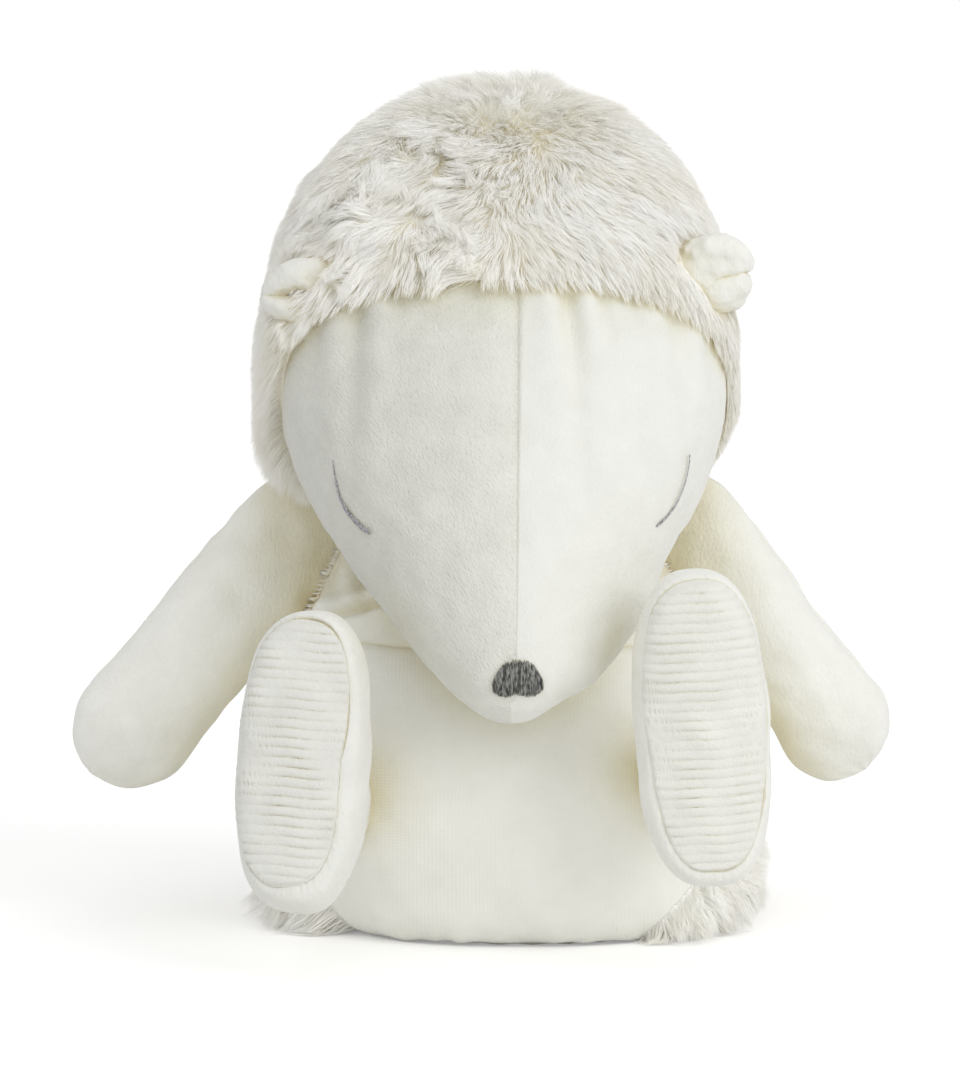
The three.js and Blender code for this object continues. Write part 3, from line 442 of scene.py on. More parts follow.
def normals_of(verts, quads):
    n = np.zeros_like(verts)
    a = np.cross(verts[quads[:, 2]] - verts[quads[:, 0]], verts[quads[:, 3]] - verts[quads[:, 1]])
    for k in range(4):
        np.add.at(n, quads[:, k], a)
    return n / np.maximum(np.linalg.norm(n, axis=1), 1e-12)[:, None]


def shell(name, verts, quads, normals, tris=NO_TRIS, thickness=1.6):
    """A closed sheet of cloth: the outer faces, an inner copy and the edges between them."""
    used = np.unique(np.concatenate([quads.ravel(), tris.ravel()]))
    new_index = np.full(len(verts), -1)
    new_index[used] = np.arange(len(used))
    v, q, t = verts[used], new_index[quads], new_index[tris]
    size = len(v)
    e = np.concatenate([np.stack([f, np.roll(f, -1, axis=1)], -1).reshape(-1, 2) for f in (q, t)])
    rim = e[~np.isin(e[:, 1] * size + e[:, 0], e[:, 0] * size + e[:, 1])]
    sides = np.stack([rim[:, 1], rim[:, 0], rim[:, 0] + size, rim[:, 1] + size], 1)
    all_v = np.concatenate([v, v - normals[used] * thickness])
    all_q = np.concatenate([q, q[:, ::-1] + size, sides])
    return mesh_object(name, all_v, all_q, np.concatenate([t, t[:, ::-1] + size]))


def run_along(p, axis):
    """Distance over a grid of points along an axis, from its start and from its end."""
    step = np.linalg.norm(np.diff(p, axis=axis), axis=2)
    pad = [(0, 0), (0, 0)]
    pad[axis] = (1, 0)
    run = np.cumsum(np.pad(step, pad), axis=axis)
    return run, np.take(run, [-1], axis=axis) - run


def resample(grid, run, wanted):
    """Columns of a dense grid, read again at the wanted distances down each column."""
    out = np.zeros((wanted.shape[0],) + grid.shape[1:])
    for k in range(grid.shape[1]):
        for c in range(grid.shape[2]):
            out[:, k, c] = np.interp(wanted[:, k], run[:, k], grid[:, k, c])
    return out


# Cloth. The skin of a stuffed form is a coarse closed sheet that starts a little small, is
# held at its seams and is blown out by light pressure. What it moves is then added to the
# fine grid of that form.

SKIN_SHRINK, SKIN_OUT, SKIN_IN, SKIN_SLIDE = 1.2, 0.9, 2.2, 0.3
SKIN_FRAMES, SKIN_PRESSURE, SKIN_GROWTH, SKIN_EASE = 20, 4.0, 0.05, 2
SKIN_QUALITY, SKIN_MASS, SKIN_BENDING = 5, 0.3, 0.2
# The rows and columns of each skin.
TORSO_SKIN, ARM_SKIN, FOOT_SKIN = (44, 84), (30, 28), (34, 44)


def cubic(f):
    """The four weights of a smooth curve through four even places."""
    return [((-f + 2) * f - 1) * f / 2, ((3 * f - 5) * f * f + 2) / 2,
            ((-3 * f + 4) * f + 1) * f / 2, (f - 1) * f * f / 2]


class Skin:
    """What a simulated cloth skin moves, in millimetres, at table places and angles of its form."""

    def __init__(self, form, start, end, rows_n, cols_n, held, give=1.0):
        self.u = form.even(start, end, rows_n)
        self.cols = cols_n
        ang = np.tile(ring(cols_n), (rows_n, 1))
        p, nrm = form.surface(self.u, ang)
        x, y, s = form.local(self.u, ang)
        sheet, size = self.sheet(form, (p - nrm * SKIN_SHRINK).reshape(-1, 3), nrm.reshape(-1, 3))
        pinned = sheet.vertex_groups.new(name="held")
        still = np.flatnonzero(held(x, y, s, ang, p).ravel()).tolist()
        pinned.add(still + [size, size + 1], 1.0, "REPLACE")
        move = self.blown(sheet)[:size].reshape(p.shape) - p
        out = (move * nrm).sum(-1, keepdims=True)
        slide = move - nrm * out
        self.move = (nrm * np.clip(out, -SKIN_IN, SKIN_OUT) + slide * SKIN_SLIDE) * give
        for _ in range(SKIN_EASE):
            self.ease()

    def sheet(self, form, first, normals):
        """The closed sheet and how many of its places are on the grid, before the two end places."""
        n, size = self.cols, len(first)
        verts = np.vstack([first, first[:n].mean(0), first[-n:].mean(0)])
        normals = np.vstack([normals, -form.l, form.l])
        caps = [faced(fan(size, 0, n), verts, normals), faced(fan(size + 1, size - n, n), verts, normals)]
        quads = faced(grid_faces(size // n, n), verts, normals)
        return mesh_object("skin", verts, quads, np.vstack(caps)), size

    def blown(self, sheet):
        """Where the places of the sheet are once the pressure has filled it. The sheet is then removed."""
        cloth = sheet.modifiers.new("cloth", "CLOTH")
        settings = cloth.settings
        settings.vertex_group_mass = "held"
        settings.use_pressure, settings.uniform_pressure_force = True, SKIN_PRESSURE
        settings.shrink_min = -SKIN_GROWTH
        settings.quality, settings.mass = SKIN_QUALITY, SKIN_MASS
        settings.bending_stiffness = SKIN_BENDING
        settings.effector_weights.gravity = 0.0
        cloth.point_cache.frame_start, cloth.point_cache.frame_end = 1, SKIN_FRAMES
        for frame_number in range(1, SKIN_FRAMES + 1):
            bpy.context.scene.frame_set(frame_number)
        places = places_in(sheet.evaluated_get(bpy.context.evaluated_depsgraph_get()).data)
        bpy.data.objects.remove(sheet)
        bpy.context.scene.frame_set(1)
        return places

    def ease(self):
        beside = (np.roll(self.move, 1, 1) + np.roll(self.move, -1, 1)) / 4 + self.move / 2
        inner = beside[:-2] / 4 + beside[1:-1] / 2 + beside[2:] / 4
        self.move = np.concatenate([beside[:1], inner, beside[-1:]])

    def at(self, u, ang):
        """The movement on a finer grid, along smooth curves both ways."""
        last = len(self.u) - 1
        tu = np.clip(np.interp(u, self.u, np.arange(last + 1)), 0, last - 0.001)
        ta = (ang / TURN * self.cols) % self.cols
        iu, ia = tu.astype(int), ta.astype(int)
        wu, wa = cubic((tu - iu)[:, None, None]), cubic((ta - ia)[..., None])
        out = 0
        for a in range(4):
            row = np.clip(iu + a - 1, 0, last)[:, None]
            for b in range(4):
                out = out + wu[a] * wa[b] * self.move[row, (ia + b - 1) % self.cols]
        return out


# Materials

WHITE = (1, 1, 1)
# Painted shade: cloth darkens and warms where the sky doesn't reach, but less within some height of the
# floor.
PAINTED_SHADE_STOPS = [(0.0, (0.87, 0.76, 0.50)), (0.4, (0.94, 0.895, 0.74)),
                (0.75, (0.988, 0.98, 0.93)), (1.0, WHITE)]
PAINTED_SHADE_FROM_Z, PAINTED_SHADE_FULL_Z = 0.015, 0.055
# A Mix node takes its two colours at these inputs and gives the result at this output.
MIX_A, MIX_B, MIX_OUT = 6, 7, 2
# The scale of a wave texture whose bands are a millimetre apart.
WAVE_SCALE = math.pi / 10 * 1000


def set_values(node, values):
    """Sets a node's own sockets, and settings for names that aren't sockets."""
    for name, value in values.items():
        if name in node.inputs:
            node.inputs[name].default_value = value
        else:
            setattr(node, name, value)


class Tree:
    """A node tree, with short ways to add nodes and to join them."""

    def __init__(self, owner):
        owner.use_nodes = True
        self.nodes, self.links = owner.node_tree.nodes, owner.node_tree.links

    def add(self, kind, joined=(), **values):
        """A node with values set, and with sockets joined to its inputs by name or number."""
        node = self.nodes.new("ShaderNode" + kind)
        set_values(node, values)
        for key, socket in dict(joined).items():
            self.links.new(socket, node.inputs[key])
        return node


class Look(Tree):
    """A material round one main shader."""

    def __init__(self, name, colour, roughness, sheen=0.0, sheen_roughness=0.5, specular=0.12):
        self.material = bpy.data.materials.new(name)
        super().__init__(self.material)
        self.shader = self.nodes["Principled BSDF"]
        set_values(self.shader, {"Base Color": (*colour, 1), "Roughness": roughness,
                                 "Specular IOR Level": specular,
                                 "Sheen Weight": sheen, "Sheen Roughness": sheen_roughness})

    def coords(self, scale=(1, 1, 1), rotation=(0, 0, 0)):
        """Object coordinates, turned and then scaled."""
        place = self.add("TexCoord").outputs["Object"]
        turned = self.add("Mapping", {"Vector": place}, Rotation=rotation).outputs["Vector"]
        return self.add("Mapping", {"Vector": turned}, Scale=scale).outputs["Vector"]

    def noise(self, scale, detail, roughness=0.5, place=None):
        place = self.coords() if place is None else place
        node = self.add("TexNoise", {"Vector": place}, Scale=scale, Detail=detail, Roughness=roughness)
        return node.outputs["Fac"]

    def bands(self, direction, pitch, distortion, detail, detail_scale=1.0):
        """Wavy bands along a direction, a pitch apart in millimetres."""
        node = self.add("TexWave", {"Vector": self.coords()}, Scale=WAVE_SCALE / pitch, Distortion=distortion,
                        Detail=detail, bands_direction=direction, **{"Detail Scale": detail_scale})
        return node.outputs["Fac"]

    def span(self, axis, low, high):
        """How far an object coordinate lies between two places, as a share."""
        parts = self.add("SeparateXYZ", {0: self.add("TexCoord").outputs["Object"]})
        limits = {"From Min": low, "From Max": high}
        return self.add("MapRange", {"Value": parts.outputs[axis]}, **limits).outputs[0]

    def ramp(self, socket, stops):
        """Colours between stops, read at a socket's value."""
        node = self.add("ValToRGB", {"Fac": socket})
        parts = node.color_ramp.elements
        while len(parts) < len(stops):
            parts.new(0.5)
        for part, (at, colour) in zip(parts, stops):
            part.position = at
            part.color = (*colour, 1)
        return node.outputs["Color"]

    def mixed(self, a, b, share=None):
        """One colour times another, in full or by the share that a socket gives."""
        node = self.add("Mix", {MIX_A: a, MIX_B: b}, data_type="RGBA", blend_type="MULTIPLY")
        if share is None:
            node.inputs["Factor"].default_value = 1.0
        else:
            self.links.new(share, node.inputs["Factor"])
        return node.outputs[MIX_OUT]

    def scaled(self, socket, factor):
        node = self.add("Math", {0: socket}, operation="MULTIPLY")
        node.inputs[1].default_value = factor
        return node.outputs[0]

    def colour(self, socket):
        self.links.new(socket, self.shader.inputs["Base Color"])
        return socket

    def cloth_colour_and_painted_shade(self, low, high, scale, depth):
        """Two near tones drift over the cloth. Painted shade darkens and warms it where it lies deep
        between other pieces.
        """
        tone = self.ramp(self.noise(scale, 4.0, 0.6), [(0.3, low), (0.7, high)])
        # Painted shade: how much sky reaches a place sets how dark and warm its colour is.
        open_sky = self.add("AmbientOcclusion", Distance=depth, samples=8).outputs["AO"]
        off_floor = self.span("Z", PAINTED_SHADE_FROM_Z, PAINTED_SHADE_FULL_Z)
        return self.colour(self.mixed(tone, self.ramp(open_sky, PAINTED_SHADE_STOPS), off_floor))

    def bump(self, heights, strength, distance):
        """Heights are summed and drive one bump node."""
        total = heights[0]
        for height in heights[1:]:
            total = self.add("Math", {0: total, 1: height}, operation="ADD").outputs[0]
        node = self.add("Bump", {"Height": total}, Strength=strength, Distance=distance)
        self.links.new(node.outputs["Normal"], self.shader.inputs["Normal"])


def velour_material(name, low, high, nap=(1100, 1100, 600), lean=0.0, strength=0.6, dent=1.0, shade=None,
                    depth=0.03):
    """Short cut pile. Its tufts are drawn out along the nap, over slow dents. Shade holds two
    places across, in metres, and how dark the cloth is at the first of them: the darkening
    across is partly the nap's own tone and partly painted shade."""
    look = Look(name, high, 0.95, sheen=0.55, sheen_roughness=0.45)
    colour = look.cloth_colour_and_painted_shade(low, high, 90, depth)
    leaning = (0, lean * DEG, 0)
    pile = look.noise(1.0, 2.5, 0.7, look.coords(nap, leaning))
    tufts = look.add("TexVoronoi", {"Vector": look.coords(tuple(k * 0.9 for k in nap), leaning)}, Scale=1.0)
    heights = [pile, look.scaled(tufts.outputs["Distance"], -0.5), look.scaled(look.noise(190, 2.0), dent)]
    look.bump(heights, strength, 0.0007)
    # Painted shade, partly the nap's own tone: the colour darkens from the second place across towards the
    # first.
    if shade:
        first, last, dark = shade
        stops = [(0.0, (dark,) * 3), (0.55, (0.5 + dark / 2,) * 3), (1.0, WHITE)]
        look.colour(look.mixed(colour, look.ramp(look.span("X", first, last), stops)))
    return look.material


def knit_material(name, low, high, pitch, strength):
    """Brushed knit. Its wales run up the cloth, a pitch apart in millimetres."""
    look = Look(name, high, 0.92, sheen=0.45, sheen_roughness=0.45)
    look.cloth_colour_and_painted_shade(low, high, 80, 0.022)
    wales = look.scaled(look.bands("X", pitch, 1.2, 2.0, 2.0), 0.55)
    courses = look.scaled(look.bands("Z", pitch * 0.75, 1.5, 1.0), 0.25)
    look.bump([wales, courses, look.noise(1300, 3.0, 0.7)], strength, 0.0006)
    return look.material


def fur_material(name, root, middle, tip):
    """Pile that pales from its root to its tip, its darker, warmer root being painted shade deep in
    the pile, and with each lock a little different.
    """
    look = Look(name, tip, 0.85, sheen=0.3, sheen_roughness=0.4)
    grade = look.add("Attribute", attribute_name="tip").outputs["Fac"]
    # Painted shade: the colour is darker and warmer towards the root.
    along = look.ramp(grade, [(0.0, root), (0.45, middle), (0.85, tip)])
    locks = look.ramp(look.noise(75, 4.0), [(0.3, (0.965, 0.957, 0.93)), (0.65, WHITE)])
    look.colour(look.mixed(along, locks))
    return look.material


def thread_material(name, low, high, roughness, fleck):
    """Twisted thread between two tones. Fleck is how fine its flecks are."""
    look = Look(name, high, roughness, sheen=0.1, specular=0.5)
    flecks = look.noise(1.0, 2.0, place=look.coords((fleck, fleck / 2, fleck / 3)))
    look.colour(look.ramp(flecks, [(0.4, low), (0.62, high)]))
    look.bump([look.noise(5000, 1.0)], 0.5, 0.00012)
    return look.material


WARM_WHITE = (0.80, 0.797, 0.745), (0.855, 0.853, 0.805)
RIB_NAP = (1100, 1100, 1500)
VELOUR = velour_material("velour", *WARM_WHITE, strength=0.4)
# Arm velour: its painted shade reaches further, so the arms darken and warm where the head shades them.
VELOUR_LIMB = velour_material("velour_limb", *WARM_WHITE, strength=0.4, depth=0.055)
# Left face panel: darker partly by its nap and partly as painted shade, more so towards its outer side.
VELOUR_LEFT = velour_material("velour_nap_up_painted_shade", (0.725, 0.724, 0.665), (0.79, 0.789, 0.73),
                              nap=(1700, 1100, 620), lean=35, strength=0.75,
                              shade=(-0.05, 0.001, 0.86), depth=0.02)
VELOUR_RIGHT = velour_material("velour_nap_down", (0.765, 0.767, 0.72), (0.80, 0.802, 0.755), strength=0.3,
                               dent=0.6, depth=0.012)
KNIT = knit_material("knit_belly", (0.86, 0.857, 0.80), (0.90, 0.897, 0.85), 1.2, 0.16)
# Painted shade: darker copies of the velour and of the sole's knit, for the left ear and the left foot, which
# face away from the light.
VELOUR_SHADED = velour_material("velour_painted_shade", (0.735, 0.733, 0.69), (0.79, 0.788, 0.745), strength=0.4)
RIB_SHADED = velour_material("knit_sole_painted_shade", (0.695, 0.692, 0.65), (0.75, 0.748, 0.705), nap=RIB_NAP,
                           strength=0.35, dent=0.4)
RIB = velour_material("knit_sole", (0.755, 0.752, 0.70), (0.815, 0.812, 0.76), nap=RIB_NAP,
                      strength=0.35, dent=0.4)
FUR = fur_material("fur", (0.957, 0.953, 0.930), (0.977, 0.974, 0.955), (0.985, 0.984, 0.97))
MAT = velour_material("fur_mat", (0.945, 0.943, 0.925), (0.965, 0.963, 0.95), depth=0.003)
GREY_THREAD = thread_material("grey_thread", (0.045, 0.046, 0.042), (0.30, 0.30, 0.28), 0.55, 1500)
LILAC_THREAD = thread_material("lilac_thread", (0.2, 0.195, 0.215), (0.62, 0.61, 0.65), 0.5, 3200)
LINING = velour_material("lining", (0.66, 0.645, 0.585), (0.74, 0.725, 0.665), strength=0.3)
PELLETS = thread_material("pellets", (0.45, 0.44, 0.4), (0.6, 0.59, 0.55), 0.5, 1400)


def paint(ob, material):
    ob.data.materials.clear()
    ob.data.materials.append(material)


def dress(ob, material, body, replaces=()):
    """Gives a piece its material, and says what it rides and what it replaces."""
    paint(ob, material)
    if body:
        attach(ob, body)
    if replaces:
        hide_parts(*replaces)


def grid_shell(name, p, nrm, rise, clear=None):
    """A sheet of cloth that rises off an open grid, and keeps clear of the hood by a gap if one is given."""
    flat, normals = p.reshape(-1, 3), nrm.reshape(-1, 3)
    quads = faced(grid_faces(*p.shape[:2], closed=False), flat, normals)
    v = flat + normals * rise.reshape(-1, 1)
    return shell(name, v if clear is None else push_from_sweep(v, clear), quads, normals)


# Face

GUSSET_END, GUSSET_HALF = 199.0, 31.0
SEAM_AT_HOOD, SEAM_AT_NOSE = 3.8, 1.8
FACE_ROWS, SIDE_COLS, CHIN_COLS = 200, 160, 40
# Pleats under the hood seam: place across, depth, width and length down the face.
PLEATS = [(-45, 3.4, 3.4, 44), (-33, 1.0, 2.6, 26), (-57, 1.6, 3.2, 30), (18.5, 3.8, 2.9, 52),
          (29, 1.6, 2.4, 26), (-9, 0.8, 2.6, 18), (52, 2.6, 3.4, 34), (62, 1.2, 2.6, 24)]
CHEEK_LINE, CHEEK_RISE = ((645, 612), (592, 678)), 4.8
SEAM_DIP, DIP_WIDTH, DIP_END, DIP_FADE = 0.16, 0.7, 196, 8


def x_angle(row, x, up=True):
    """The angle at which a section's outline stands at x, on its upper or its lower side."""
    c = np.clip((x - row[:, 5]) / np.maximum(row[:, 1], 1e-6), -1, 1)
    a = np.arccos(np.sign(c) * np.abs(c) ** (row[:, 4] / 2))
    return a if up else TURN - a


def down_face(s, most):
    """How far a station lies between the hood's seam and the gusset's end, up to a most."""
    return np.clip((s - HOOD_SEAM) / (GUSSET_END - HOOD_SEAM), 0, most)


def seam_x(s):
    """Where the seam down the middle of the face stands, across."""
    return SEAM_AT_HOOD + (SEAM_AT_NOSE - SEAM_AT_HOOD) * down_face(s, 1.2)


def chin_half(s):
    """Half the width of the gusset under the chin."""
    t = down_face(s, 1)
    return GUSSET_HALF * (1 - t) * (1 - 0.35 * t)


def face_columns(u):
    """The angles of each face panel's columns, row by row."""
    rows = spline(head.rows, u)
    top = x_angle(rows, seam_x(rows[:, 0]))[:, None]
    reach = np.minimum(chin_half(rows[:, 0]), rows[:, 1] * 0.45)
    right = x_angle(rows, reach + 0.01, up=False)[:, None] - TURN
    left = x_angle(rows, -reach - 0.01, up=False)[:, None]
    side, chin = np.linspace(0, 1, SIDE_COLS + 1), np.linspace(0, 1, CHIN_COLS + 1)
    return {"face_right": right + (top - right) * side, "face_left": top + (left - top) * side,
            "chin_gusset": left + (right + TURN - left) * chin}


def face_relief(x, y, s, p):
    """How far the velour stands off the form, in millimetres."""
    seam, down = np.abs(x - seam_x(s)), s - HOOD_SEAM
    d = -(0.1 * bell(seam, 0.9) + 0.7 * bell(seam, 3.8)) * (y > -20) * (1 - 0.65 * smoothstep(190, 205, s))
    for at, deep, width, length in PLEATS:
        shown = deep * fade(down, length * 0.5) * (y > 0) * (0.25 + 0.75 * smoothstep(0, 7, down))
        off = x - at - down * 0.06 * np.sign(at)
        d = d - shown * bell(off, width)
        for beside in (-2.2, 2.2):
            d = d + 0.5 * shown * bell(off + beside * width, width * 1.3)
    gather = fade(down, 5) * (y > 0) * np.sin(x * 1.15 + 2 * soft_noise(p, 25))
    cheek = bell(px_distance(p, *CHEEK_LINE), 9.0) * smoothstep(-8, 12, x)
    d = d - 0.9 * fade(down, 2.4) - 0.25 * gather + CHEEK_RISE * cheek
    return d + 0.42 * soft_noise(p, 30) + 0.14 * soft_noise(p, 9)


def face_panel(name, material, replaced):
    """One panel of the face, which dips at the seams that end before the nose."""
    angle = face_angles[name]
    x, y, s = head.local(face_u, angle)
    p, nrm = head.surface(face_u, angle)
    start, end = run_along(p, 1)
    d = face_relief(x, y, s, p)
    before_nose = np.clip(1 - (s - DIP_END) / DIP_FADE, 0, 1)
    for other, edge in (("face_left", start), ("face_right", end)):
        if name != other:
            d = d - SEAM_DIP * bell(edge, DIP_WIDTH) * before_nose
    dress(grid_shell(name, p, nrm, d), material, "head", replaced)


face_u = head.even(hood_end, head.last - 0.004, FACE_ROWS)
face_angles = face_columns(face_u)
face_panel("face_right", VELOUR_RIGHT, ["face_panel_right"])
face_panel("face_left", VELOUR_LEFT, ["face_panel_left"])
face_panel("chin_gusset", VELOUR, ["chin_panel", "head_stuffing"])


# Hood. The backing of its fur tapers down to the seam at the face.

MAT_OFF, MAT_TAPER, HOOD_OVER = 3.4, 3.2, 0.8
HOOD_ROWS, HOOD_COLS = 110, 180


def hood_backing():
    """The places, normals, faces and closing fan of the hood's backing."""
    u = np.concatenate([[0.02], head.even(0.05, float(head.place_of(HOOD_SEAM + HOOD_OVER)), HOOD_ROWS)])
    p, nrm = head.surface(u, np.tile(ring(HOOD_COLS), (len(u), 1)))
    station = np.repeat(spline(head.rows, u)[:, 0], HOOD_COLS)
    v = np.vstack([p.reshape(-1, 3), head.world(0, head.rows[0, 2], head.rows[0, 0] + 0.02)])
    nrm = np.vstack([nrm.reshape(-1, 3), -head_along])
    off = np.append(MAT_OFF - MAT_TAPER * fade(HOOD_SEAM - station, 2.6), MAT_OFF)
    off += 0.7 * soft_noise(v, 16) * smoothstep(1, 3, off)
    v = v + nrm * off[:, None]
    closing = fan(len(v) - 1, 0, HOOD_COLS)
    return v, nrm, faced(grid_faces(len(u), HOOD_COLS), v, nrm), faced(closing, v, nrm)


hood_v, hood_n, hood_quads, hood_closing = hood_backing()
hood_cloth = shell("hood_cloth", hood_v, hood_quads, hood_n, hood_closing, thickness=2.0)
dress(hood_cloth, MAT, "head", ["head_fur_hood"])


# Fur. A strand is a closed tapered solid of three sides, with one bend and a pointed tip.

SIDES, STRAND_RADIUS, FLATNESS = 3, 0.1, 0.6
STRAND_PLACES, STRAND_WIDTHS = np.array([0.0, 0.5, 1.0]), np.array([1.0, 0.85])
TUFT_APART, LOCK_APART, WANDER = 4.6, 1.3, 0.5
TUFT_PULL, LOCK_PULL, STRAY = 0.62, 0.3, 0.22
FACES_IN_PIECE = 190000
DENSITY = 1.0


def sample_grid(verts, quads, count, rng):
    """Random points on a quad grid, even by area, with the quad of each and the whole area."""
    a, b, c, d = (verts[quads[:, k]] for k in range(4))
    area = np.linalg.norm(np.cross(c - a, d - b), axis=1) / 2
    pick = rng.choice(len(quads), size=count, p=area / area.sum())
    s, t = rng.random(count)[:, None], rng.random(count)[:, None]
    near, far = a[pick] * (1 - s) + b[pick] * s, c[pick] * s + d[pick] * (1 - s)
    return near * (1 - t) + far * t, pick, area.sum()


def nearest_of(roots, area, apart, least, rng):
    """For each root, the nearest of some roots that are drawn at random about so far apart."""
    drawn = rng.choice(len(roots), max(least, int(area / apart ** 2)), replace=False)
    tree = KDTree(len(drawn))
    for i, root in enumerate(roots[drawn]):
        tree.insert(root, i)
    tree.balance()
    return drawn[[tree.find(root)[1] for root in roots]]


def strand_paths(roots, normals, flow, length, height, clump, area, rng):
    """The places along strands that rise to a share of their length, drawn into tufts and small locks."""
    count = len(roots)
    owner = nearest_of(roots, area, TUFT_APART, 8, rng)
    lock = nearest_of(roots, area, LOCK_APART, 16, rng)
    jitter = rng.normal(size=(count, 3))
    reach = length * (1 + rng.uniform(-0.16, 0.14, count)[owner] * clump) * rng.uniform(0.88, 1.05, count)
    way = flow + jitter[owner] * (0.10 + WANDER * clump)[:, None] + jitter[lock] * 0.16
    way = way + rng.normal(size=(count, 3)) * 0.12
    way = unit(way - normals * (way * normals).sum(1)[:, None])
    share = height * (1 + rng.uniform(-0.22, 0.22, count)[owner] * clump) * rng.uniform(0.9, 1.08, count)
    lift, lay = np.clip(share * 1.45, 0.05, 0.96), np.clip(share * 0.55, 0.0, 0.9)
    first = normals * lift[:, None] + way * np.sqrt(1 - lift ** 2)[:, None]
    last = normals * lay[:, None] + way * np.sqrt(1 - lay ** 2)[:, None]
    paths = np.zeros((count, len(STRAND_PLACES), 3))
    for i, t in enumerate(STRAND_PLACES):
        move = (first * t + (last - first) * t * t / 2) * reach[:, None]
        to_owner, to_lock = (clump * TUFT_PULL * t ** 1.15)[:, None], LOCK_PULL * t ** 1.1
        base = roots + (roots[lock] - roots) * to_lock
        base = base + (roots[owner] - base) * to_owner
        move = move * (1 - to_lock) + move[lock] * to_lock
        stray = rng.normal(size=(count, 3)) * STRAY * t
        paths[:, i] = base + move * (1 - to_owner) + move[owner] * to_owner + stray
    return paths


def strand_corners(paths, normals, rng):
    """The corners of each strand, side by side at its lower places, and its tip."""
    count, rings = len(paths), len(STRAND_WIDTHS)
    axis = unit(np.gradient(paths, axis=1))
    side = unit(np.cross(axis, normals[:, None] + rng.normal(size=(count, 1, 3)) * 0.35))
    other = np.cross(axis, side) * FLATNESS
    wide = STRAND_RADIUS / math.sqrt(DENSITY) * rng.uniform(0.75, 1.25, count)
    radius = wide[:, None] * STRAND_WIDTHS
    corners = np.zeros((count, SIDES * rings + 1, 3))
    for i in range(rings):
        for k in range(SIDES):
            a = TURN * (k + 0.25 * SIDES) / SIDES
            out = side[:, i] * math.cos(a) + other[:, i] * math.sin(a)
            corners[:, i * SIDES + k] = paths[:, i] + out * radius[:, i:i + 1]
    corners[:, -1] = paths[:, -1]
    return corners


def strand_faces():
    """The triangles of one strand: its walls, its tip and its closed root."""
    rings, faces = len(STRAND_WIDTHS), []
    for i in range(rings - 1):
        for k in range(SIDES):
            a, b = i * SIDES + k, i * SIDES + (k + 1) % SIDES
            faces += [(a, b, b + SIDES), (a, b + SIDES, a + SIDES)]
    last = (rings - 1) * SIDES
    faces += [(last + k, last + (k + 1) % SIDES, rings * SIDES) for k in range(SIDES)]
    return np.array(faces + [(0, 2, 1)])


def fur(name, roots, normals, flow, length, height, clump, area, rng, body, keep_clear):
    """A pile of strands, in pieces that follow each other round the nod centre."""
    paths = strand_paths(roots, normals, flow, length, height, clump, area, rng)
    paths, good = keep_clear(paths, roots)
    paths = paths[good]
    corners = strand_corners(paths, normals[good], rng)
    faces, per = strand_faces(), corners.shape[1]
    tip = np.append(np.repeat(STRAND_PLACES[:-1], SIDES), 1.0)
    order = np.argsort(np.arctan2(paths[:, 0, 0] - NOD[0], -(paths[:, 0, 1] - NOD[1])))
    chunk = FACES_IN_PIECE // len(faces)
    for c, start in enumerate(range(0, len(order), chunk)):
        sel = order[start:start + chunk]
        tris = (faces + (np.arange(len(sel)) * per)[:, None, None]).reshape(-1, 3)
        ob = mesh_object(f"{name}_{c + 1}", corners[sel].reshape(-1, 3), tris=tris, smooth=False)
        grade = ob.data.attributes.new("tip", "FLOAT", "POINT")
        grade.data.foreach_set("value", np.tile(tip, len(sel)).astype(np.float32))
        dress(ob, FUR, body)


class Hollowed:
    """A form less the space that the hood turns in."""

    def __init__(self, form):
        self.form = form

    def depth(self, p):
        moved = np.abs(push_from_sweep(p, 0.0) - p).sum(-1) > 1e-6
        return np.where(moved, -1.0, self.form.depth(p))


class Nodded:
    """A form as the hood meets it once the head is nodded up by an angle."""

    def __init__(self, form, angle):
        self.form, self.angle = form, angle

    def depth(self, p):
        return self.form.depth(NOD + turn(p - NOD, head_across, -self.angle))


SHORTER, DEEPEST = (1.0, 0.6, 0.35), 0.02
EAR_BITE, EAR_THIN, PILE_FRONT, FLOOR_STEP = 1.5, 2.9, 10.0, 0.3


def clear_of(forms, strokes=(), floor=None, low_front=None):
    """Strands that run into a form or an ear are cut shorter, or left out where they start in one."""
    def free(paths, roots):
        good = np.ones(len(paths), bool)
        for f in forms:
            good &= f.depth(roots) < 0
            good &= (f.depth(paths[:, -1]) < DEEPEST) & (f.depth(paths[:, -2]) < DEEPEST)
        for centres, radii in strokes:
            for c, r in zip(centres[radii > EAR_THIN], radii[radii > EAR_THIN]):
                beside = np.hypot(paths[..., 0] - c[0], paths[..., 2] - c[2]).min(1)
                behind, before = paths[:, -1, 1] > c[1] + r, roots[:, 1] < c[1] - 0.8 * r
                good &= (beside > r - EAR_BITE) | behind | before
        if low_front is not None:
            good &= (roots[:, 1] > PILE_FRONT) | (roots[:, 2] < low_front)
        return good

    def apply(paths, roots):
        good = np.zeros(len(paths), bool)
        for share in SHORTER:
            left = np.flatnonzero(~good)
            cut = paths[left, :1] + (paths[left] - paths[left, :1]) * share
            clear = free(cut, roots[left])
            paths[left[clear]] = cut[clear]
            good[left[clear]] = True
        if floor is not None:
            paths[..., 2] = np.maximum(paths[..., 2], floor + FLOOR_STEP * np.arange(paths.shape[1]))
        return paths, good
    return apply


# Ears. Each is folded over: the outer layer makes the roll on top, and the inner layer the
# lip under it. A stroke is a list of image places with a depth and a radius in millimetres.

